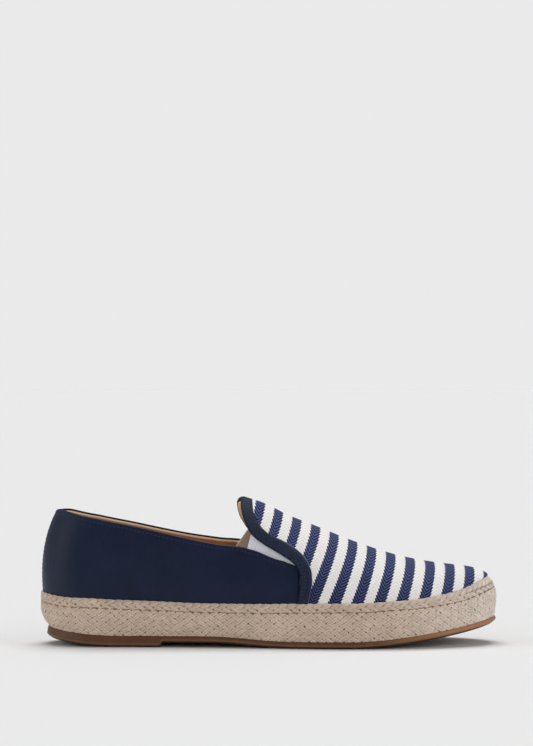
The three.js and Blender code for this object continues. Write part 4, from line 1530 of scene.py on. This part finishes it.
def make_braid():
    """A flat braid round the side: one repeat is made, set out in a row and laid along the sole."""
    size = sizes()
    way = AROUND[1]
    count = round(way[-1] / (size.crossing / MM))
    pitch = way[-1] / count
    row = size.braid_row / MM
    angle = math.atan2(row, pitch)
    half_length = math.hypot(pitch, row) / 2 * 1.08
    half_width = pitch * math.sin(angle) / 2
    bm = bmesh.new()
    lay = bm.verts.layers.float_vector.new("lay")
    starts = []
    for k in range(BRAID_ROWS):
        starts.append((0.0, BRAID_START + k * row, angle))
        starts.append((pitch / 2, BRAID_START + (k + 0.5) * row, -angle))
    sizes_each = []
    for x, down, turned in starts:
        before = len(bm.verts)
        float_strand(bm, lay, (x, down), half_length, half_width, turned, STRAND_HUMP)
        sizes_each.append(len(bm.verts) - before)
    for x, down, half, width, slant in EDGE_TURNS:
        before = len(bm.verts)
        edge_turn(bm, lay, (pitch * x, down), pitch * half, width, EDGE_TURN_THICKNESS, math.radians(slant))
        sizes_each.append(len(bm.verts) - before)
    unit = bpy.data.meshes.new("braid_repeat")
    bm.to_mesh(unit)
    bm.free()
    maker = bpy.data.objects.new("braid_repeat", unit)
    bpy.context.scene.collection.objects.link(maker)
    array = maker.modifiers.new("round_the_sole", "ARRAY")
    array.count = count
    array.use_relative_offset = False
    array.use_constant_offset = True
    array.constant_offset_displace = (pitch, 0, 0)
    made = bpy.data.meshes.new_from_object(maker.evaluated_get(bpy.context.evaluated_depsgraph_get()))
    bpy.data.objects.remove(maker)
    made.name = "jute_braid"
    flat = points_of(made)
    draw = np.random.default_rng(11)
    strand = np.repeat(np.tile(np.arange(len(sizes_each)), count), np.tile(sizes_each, count))
    repeat = np.repeat(np.arange(count), sum(sizes_each))
    own = repeat * len(sizes_each) + strand
    total = count * len(sizes_each)
    shift = draw.normal(0, 1, (total, 4))
    middle_x = np.bincount(own, flat[:, 0], total) / np.bincount(own, minlength=total)
    middle_y = np.bincount(own, flat[:, 1], total) / np.bincount(own, minlength=total)
    swing = np.radians(2.5) * shift[own, 0]
    dx, dy = flat[:, 0] - middle_x[own], flat[:, 1] - middle_y[own]
    x = middle_x[own] + dx * np.cos(swing) - dy * np.sin(swing) + 0.14 * shift[own, 1]
    down = middle_y[own] + dx * np.sin(swing) + dy * np.cos(swing) + 0.13 * shift[own, 2]
    out = flat[:, 2] + 0.07 * shift[own, 3]
    dip = np.exp(-(((down - GROOVE_DROP - groove_stray(x)) / 0.85) ** 2))
    pinch = 0.75 + 0.25 * np.cos(2 * np.pi * x / THREAD_PITCH)
    out = out - size.groove / MM * dip * pinch
    lay_points(made, band_point(x, down, out))
    tint = draw.uniform(0, 1, total)
    kept = np.empty(len(flat) * 3)
    made.attributes["lay"].data.foreach_get("vector", kept)
    kept = kept.reshape(-1, 3)
    kept[:, 2] = tint[own]
    made.attributes["lay"].data.foreach_set("vector", kept.ravel())
    fibre = finish_named("jute_strand", jute_yarn, tuple(colours().jute))
    piece(made, "jute_braid", fibre, "jute_natural", "jute_midsole")


def meet_cloth(brow, out, inner, lower):
    """Lays the ring's inner edge at the toe where level lines from its outer edge meet the cloth."""
    bm = bmesh.new()
    bm.from_mesh(bpy.data.objects["vamp_cloth"].data)
    cloth = BVHTree.FromBMesh(bm)
    bm.free()
    for i in np.flatnonzero(share_at(brow[:, 0]) > 0.8):
        way_in = Vector((-out[i, 0], -out[i, 1], 0))
        start = Vector(brow[i]) - way_in * 3 + Vector((0, 0, 0.2))
        met = cloth.ray_cast(start * MM, way_in, 20 * MM)[0]
        if met:
            inner[i] = met / MM + way_in * 0.1
            lower[i] = met / MM + way_in * 0.6 - Vector((0, 0, 1.5))


def make_rim():
    """The tape's turned top edge, which closes the way from the braid to the upper."""
    turn, way = AROUND
    columns, rows = 1200, 8
    mesh, s, t = grid_mesh("jute_rim", columns, rows)
    run = s * way[-1]
    pitch = way[-1] / round(way[-1] / (sizes().crossing / MM))
    at = np.interp(run, way, turn)
    station = np.where(at <= STATIONS, at, 2 * STATIONS - at)
    side = np.where(at <= STATIONS, -1.0, 1.0)
    outer = band_point(run, np.full_like(run, 1.6), np.full_like(run, 0.2))
    brow = band_point(run, np.full_like(run, 0.25), np.full_like(run, 0.15))
    sunk = band_point(run, np.full_like(run, 2.2), np.full_like(run, -0.8))
    target = brow[:, 2] + 0.15

    def miss(across):
        return target - last_point(station, across * side, UPPER_WALL + 0.1)[..., 2]

    across = bisect(miss, np.full_like(run, 0.35), np.full_like(run, 1.0))
    inner = last_point(station, across * side, UPPER_WALL + 0.1)
    lower = last_point(station, np.minimum(across + 0.05, 1) * side, UPPER_WALL + 0.1)
    meet_cloth(brow, np.stack(outward(station, side), axis=-1), inner, lower)
    toeness = ease((share_at(brow[:, 0]) - 0.8) / 0.15)
    ridge = mix(brow, inner, 0.45)
    ridge[:, 2] += 0.35 + 0.75 * toeness
    shoulder = mix(brow, ridge, 0.5)
    shoulder[:, 2] += 0.15 + 0.3 * toeness
    inside = mix(ridge, inner, 0.5)
    inside[:, 2] += 0.15 + 0.25 * toeness
    corners = [outer, brow, shoulder, ridge, inside, inner, lower, sunk, outer]
    row = np.rint(t * rows).astype(int)
    points = np.choose(row[:, None], corners)
    lump = np.abs(np.sin(np.pi * (run / pitch + 0.13 * row)))
    points[:, 2] += (0.42 + 0.4 * toeness) * lump * np.isin(row, (1, 2, 3, 4))
    lay_points(mesh, points)
    keep_lay(mesh, np.stack([run % 4.0 * 0.3, t * 6, 0 * run], axis=-1))
    close_up(mesh, 0.01)
    fibre = finish_named("jute_strand", jute_yarn, tuple(colours().jute))
    piece(mesh, "jute_rim", fibre, "jute_natural")


def make_groove_thread():
    """Long stitches that lie in the groove of the jute band."""
    x = np.linspace(0, AROUND[1][-1], 1600)
    down = GROOVE_DROP + groove_stray(x)
    path = band_point(x, down, np.full_like(x, THREAD_RISE))
    out = band_point(x, down, np.full_like(x, THREAD_RISE + 1)) - path
    golden = finish_named("golden_thread", sewing_thread, linear(158, 120, 76))
    stitch_row("groove_thread", path, out, 5.4, THREAD_PITCH, 0.32, golden, "jute_natural", 0.0)


def make_insole():
    margin = -LAST_INSET - GAP

    def under(share):
        return seat(share) + GAP

    def over(drop):
        return lambda share: seat(share) + GAP + INSOLE_THICKNESS - drop

    def dished(depth):
        return lambda share: over(0)(share) - depth * ease(1 - share / 0.45)

    bottom = [(w, margin, under) for w in np.linspace(1, -1, 9)]
    side = [(margin, over(0.7)), (margin - 0.2, over(0.2))]
    top = [(w, margin - 0.7, dished(0.5 * (1 - w * w))) for w in np.linspace(-1, 1, 25)]
    rows = bottom + [(-1, m, h) for m, h in side] + top + [(1, m, h) for m, h in reversed(side)]
    mesh, points = section_loop("insole_sock", rows, 120)
    lay_points(mesh, points)
    close_up(mesh, 0.01)
    piece(mesh, "insole_sock", lining(), "leather_tan", "insole")


def make_stage():
    scene = bpy.context.scene
    mesh, s, t = grid_mesh("floor", 1, 1)
    lay_points(mesh, np.stack([(s - 0.5) * FLOOR_SIDE, (t - 0.5) * FLOOR_SIDE, np.zeros_like(s)], axis=-1))
    floor = bpy.data.objects.new("floor", mesh)
    mesh.materials.append(pale_paper("pale_paper", (0.8, 0.8, 0.8)))
    scene.collection.objects.link(floor)
    world = bpy.data.worlds.new("studio")
    scene.world = world
    world.use_nodes = True
    tree = world.node_tree
    tree.nodes.clear()
    seen = tree.nodes.new("ShaderNodeLightPath")
    towards = tree.nodes.new("ShaderNodeTexCoord")
    split = tree.nodes.new("ShaderNodeSeparateXYZ")
    behind = tree.nodes.new("ShaderNodeMapRange")
    above = tree.nodes.new("ShaderNodeMapRange")
    total = tree.nodes.new("ShaderNodeMath")
    soft = tree.nodes.new("ShaderNodeBackground")
    plain = tree.nodes.new("ShaderNodeBackground")
    either = tree.nodes.new("ShaderNodeMixShader")
    output = tree.nodes.new("ShaderNodeOutputWorld")
    tree.links.new(towards.outputs["Generated"], split.inputs[0])
    for ranged, axis, (low, high, dim, bright) in ((behind, 1, BACKDROP_GLOW), (above, 2, CEILING_GLOW)):
        tree.links.new(split.outputs[axis], ranged.inputs[0])
        ranged.interpolation_type = "SMOOTHSTEP"
        for socket, value in zip(list(ranged.inputs)[1:5], (low, high, dim, bright)):
            socket.default_value = value
    tree.links.new(behind.outputs[0], total.inputs[0])
    tree.links.new(above.outputs[0], total.inputs[1])
    soft.inputs["Color"].default_value = (1, 1, 1, 1)
    tree.links.new(total.outputs[0], soft.inputs["Strength"])
    plain.inputs["Color"].default_value = (1, 1, 1, 1)
    plain.inputs["Strength"].default_value = FLOOR_LIGHT
    tree.links.new(seen.outputs["Is Camera Ray"], either.inputs[0])
    tree.links.new(soft.outputs[0], either.inputs[1])
    tree.links.new(plain.outputs[0], either.inputs[2])
    tree.links.new(either.outputs[0], output.inputs[0])
    for name, azimuth, elevation, strength, angle, shows in LAMPS:
        light = bpy.data.lights.new(name, "SUN")
        light.energy = strength
        light.angle = math.radians(angle)
        lamp = bpy.data.objects.new(name, light)
        lamp.rotation_euler = (math.radians(90 - elevation), 0, math.radians(azimuth + 90))
        lamp.visible_glossy = shows
        scene.collection.objects.link(lamp)
    scene.view_settings.view_transform = "Standard"
    scene.view_settings.look = "None"
    scene.view_settings.exposure = 0
    scene.view_settings.gamma = 1
    camera = bpy.data.cameras.new("camera")
    camera.lens = CAMERA_LENS
    camera.sensor_width = 36
    camera.sensor_fit = "AUTO"
    camera.clip_end = 100
    held = bpy.data.objects.new("camera", camera)
    held.location = CAMERA_PLACE
    held.rotation_euler = (math.radians(90), 0, 0)
    scene.collection.objects.link(held)
    scene.camera = held


class ESPADRILLE_OT_stage(bpy.types.Operator):
    """Makes the floor, the lamps and the camera."""

    bl_idname = "espadrille.stage"
    bl_label = "Stage"
    bl_options = {"REGISTER", "UNDO"}

    def execute(self, context):
        make_stage()
        return {"FINISHED"}


class ESPADRILLE_OT_quarters(bpy.types.Operator):
    """Makes the leather quarters and their lining."""

    bl_idname = "espadrille.quarters"
    bl_label = "Quarters"
    bl_options = {"REGISTER", "UNDO"}

    def execute(self, context):
        make_quarters()
        make_quarter_lining()
        return {"FINISHED"}


class ESPADRILLE_OT_vamp(bpy.types.Operator):
    """Makes the striped vamp and its lining."""

    bl_idname = "espadrille.vamp"
    bl_label = "Vamp"
    bl_options = {"REGISTER", "UNDO"}

    def execute(self, context):
        make_vamp()
        return {"FINISHED"}


class ESPADRILLE_OT_trim(bpy.types.Operator):
    """Makes the band round the throat."""

    bl_idname = "espadrille.trim"
    bl_label = "Trim"
    bl_options = {"REGISTER", "UNDO"}

    def execute(self, context):
        make_trim()
        return {"FINISHED"}


class ESPADRILLE_OT_gores(bpy.types.Operator):
    """Makes the elastic gores."""

    bl_idname = "espadrille.gores"
    bl_label = "Gores"
    bl_options = {"REGISTER", "UNDO"}

    def execute(self, context):
        make_gore("gore_outer", -1.0)
        make_gore("gore_inner", 1.0)
        return {"FINISHED"}


class ESPADRILLE_OT_stitches(bpy.types.Operator):
    """Makes the rows of stitches on the upper."""

    bl_idname = "espadrille.stitches"
    bl_label = "Stitches"
    bl_options = {"REGISTER", "UNDO"}

    def execute(self, context):
        make_upper_stitches()
        return {"FINISHED"}


class ESPADRILLE_OT_outsole(bpy.types.Operator):
    """Makes the rubber outsole."""

    bl_idname = "espadrille.outsole"
    bl_label = "Outsole"
    bl_options = {"REGISTER", "UNDO"}

    def execute(self, context):
        make_outsole()
        return {"FINISHED"}


class ESPADRILLE_OT_sole_body(bpy.types.Operator):
    """Makes the jute under the braid."""

    bl_idname = "espadrille.sole_body"
    bl_label = "Jute body"
    bl_options = {"REGISTER", "UNDO"}

    def execute(self, context):
        make_sole_body()
        return {"FINISHED"}


class ESPADRILLE_OT_braid(bpy.types.Operator):
    """Makes the braided band, its turned top edge and its thread."""

    bl_idname = "espadrille.braid"
    bl_label = "Braid"
    bl_options = {"REGISTER", "UNDO"}

    def execute(self, context):
        make_braid()
        make_rim()
        make_groove_thread()
        return {"FINISHED"}


class ESPADRILLE_OT_insole(bpy.types.Operator):
    """Makes the sock inside the shoe."""

    bl_idname = "espadrille.insole"
    bl_label = "Insole"
    bl_options = {"REGISTER", "UNDO"}

    def execute(self, context):
        make_insole()
        return {"FINISHED"}


STEPS = (
    ESPADRILLE_OT_stage,
    ESPADRILLE_OT_quarters,
    ESPADRILLE_OT_vamp,
    ESPADRILLE_OT_trim,
    ESPADRILLE_OT_gores,
    ESPADRILLE_OT_stitches,
    ESPADRILLE_OT_outsole,
    ESPADRILLE_OT_sole_body,
    ESPADRILLE_OT_braid,
    ESPADRILLE_OT_insole,
)


class ESPADRILLE_PT_sidebar(bpy.types.Panel):
    """Sizes, colours and the steps that make the shoe."""

    bl_idname = "ESPADRILLE_PT_sidebar"
    bl_label = "Espadrille"
    bl_space_type = "VIEW_3D"
    bl_region_type = "UI"
    bl_category = "Espadrille"

    def draw(self, context):
        for group in (context.scene.espadrille_sizes, context.scene.espadrille_colours):
            for name in group.__annotations__:
                self.layout.prop(group, name)
        for made in STEPS:
            self.layout.operator(made.bl_idname)


CLASSES = (EspadrilleSizes, EspadrilleColours, *STEPS, ESPADRILLE_PT_sidebar)


def register():
    for made in CLASSES:
        bpy.utils.register_class(made)
    bpy.types.Scene.espadrille_sizes = PointerProperty(type=EspadrilleSizes)
    bpy.types.Scene.espadrille_colours = PointerProperty(type=EspadrilleColours)


def unregister():
    del bpy.types.Scene.espadrille_sizes
    del bpy.types.Scene.espadrille_colours
    for made in reversed(CLASSES):
        bpy.utils.unregister_class(made)


def main():
    register()
    for step in STEPS:
        getattr(bpy.ops.espadrille, step.bl_idname.split(".")[1])()


if __name__ == "__main__":
    main()
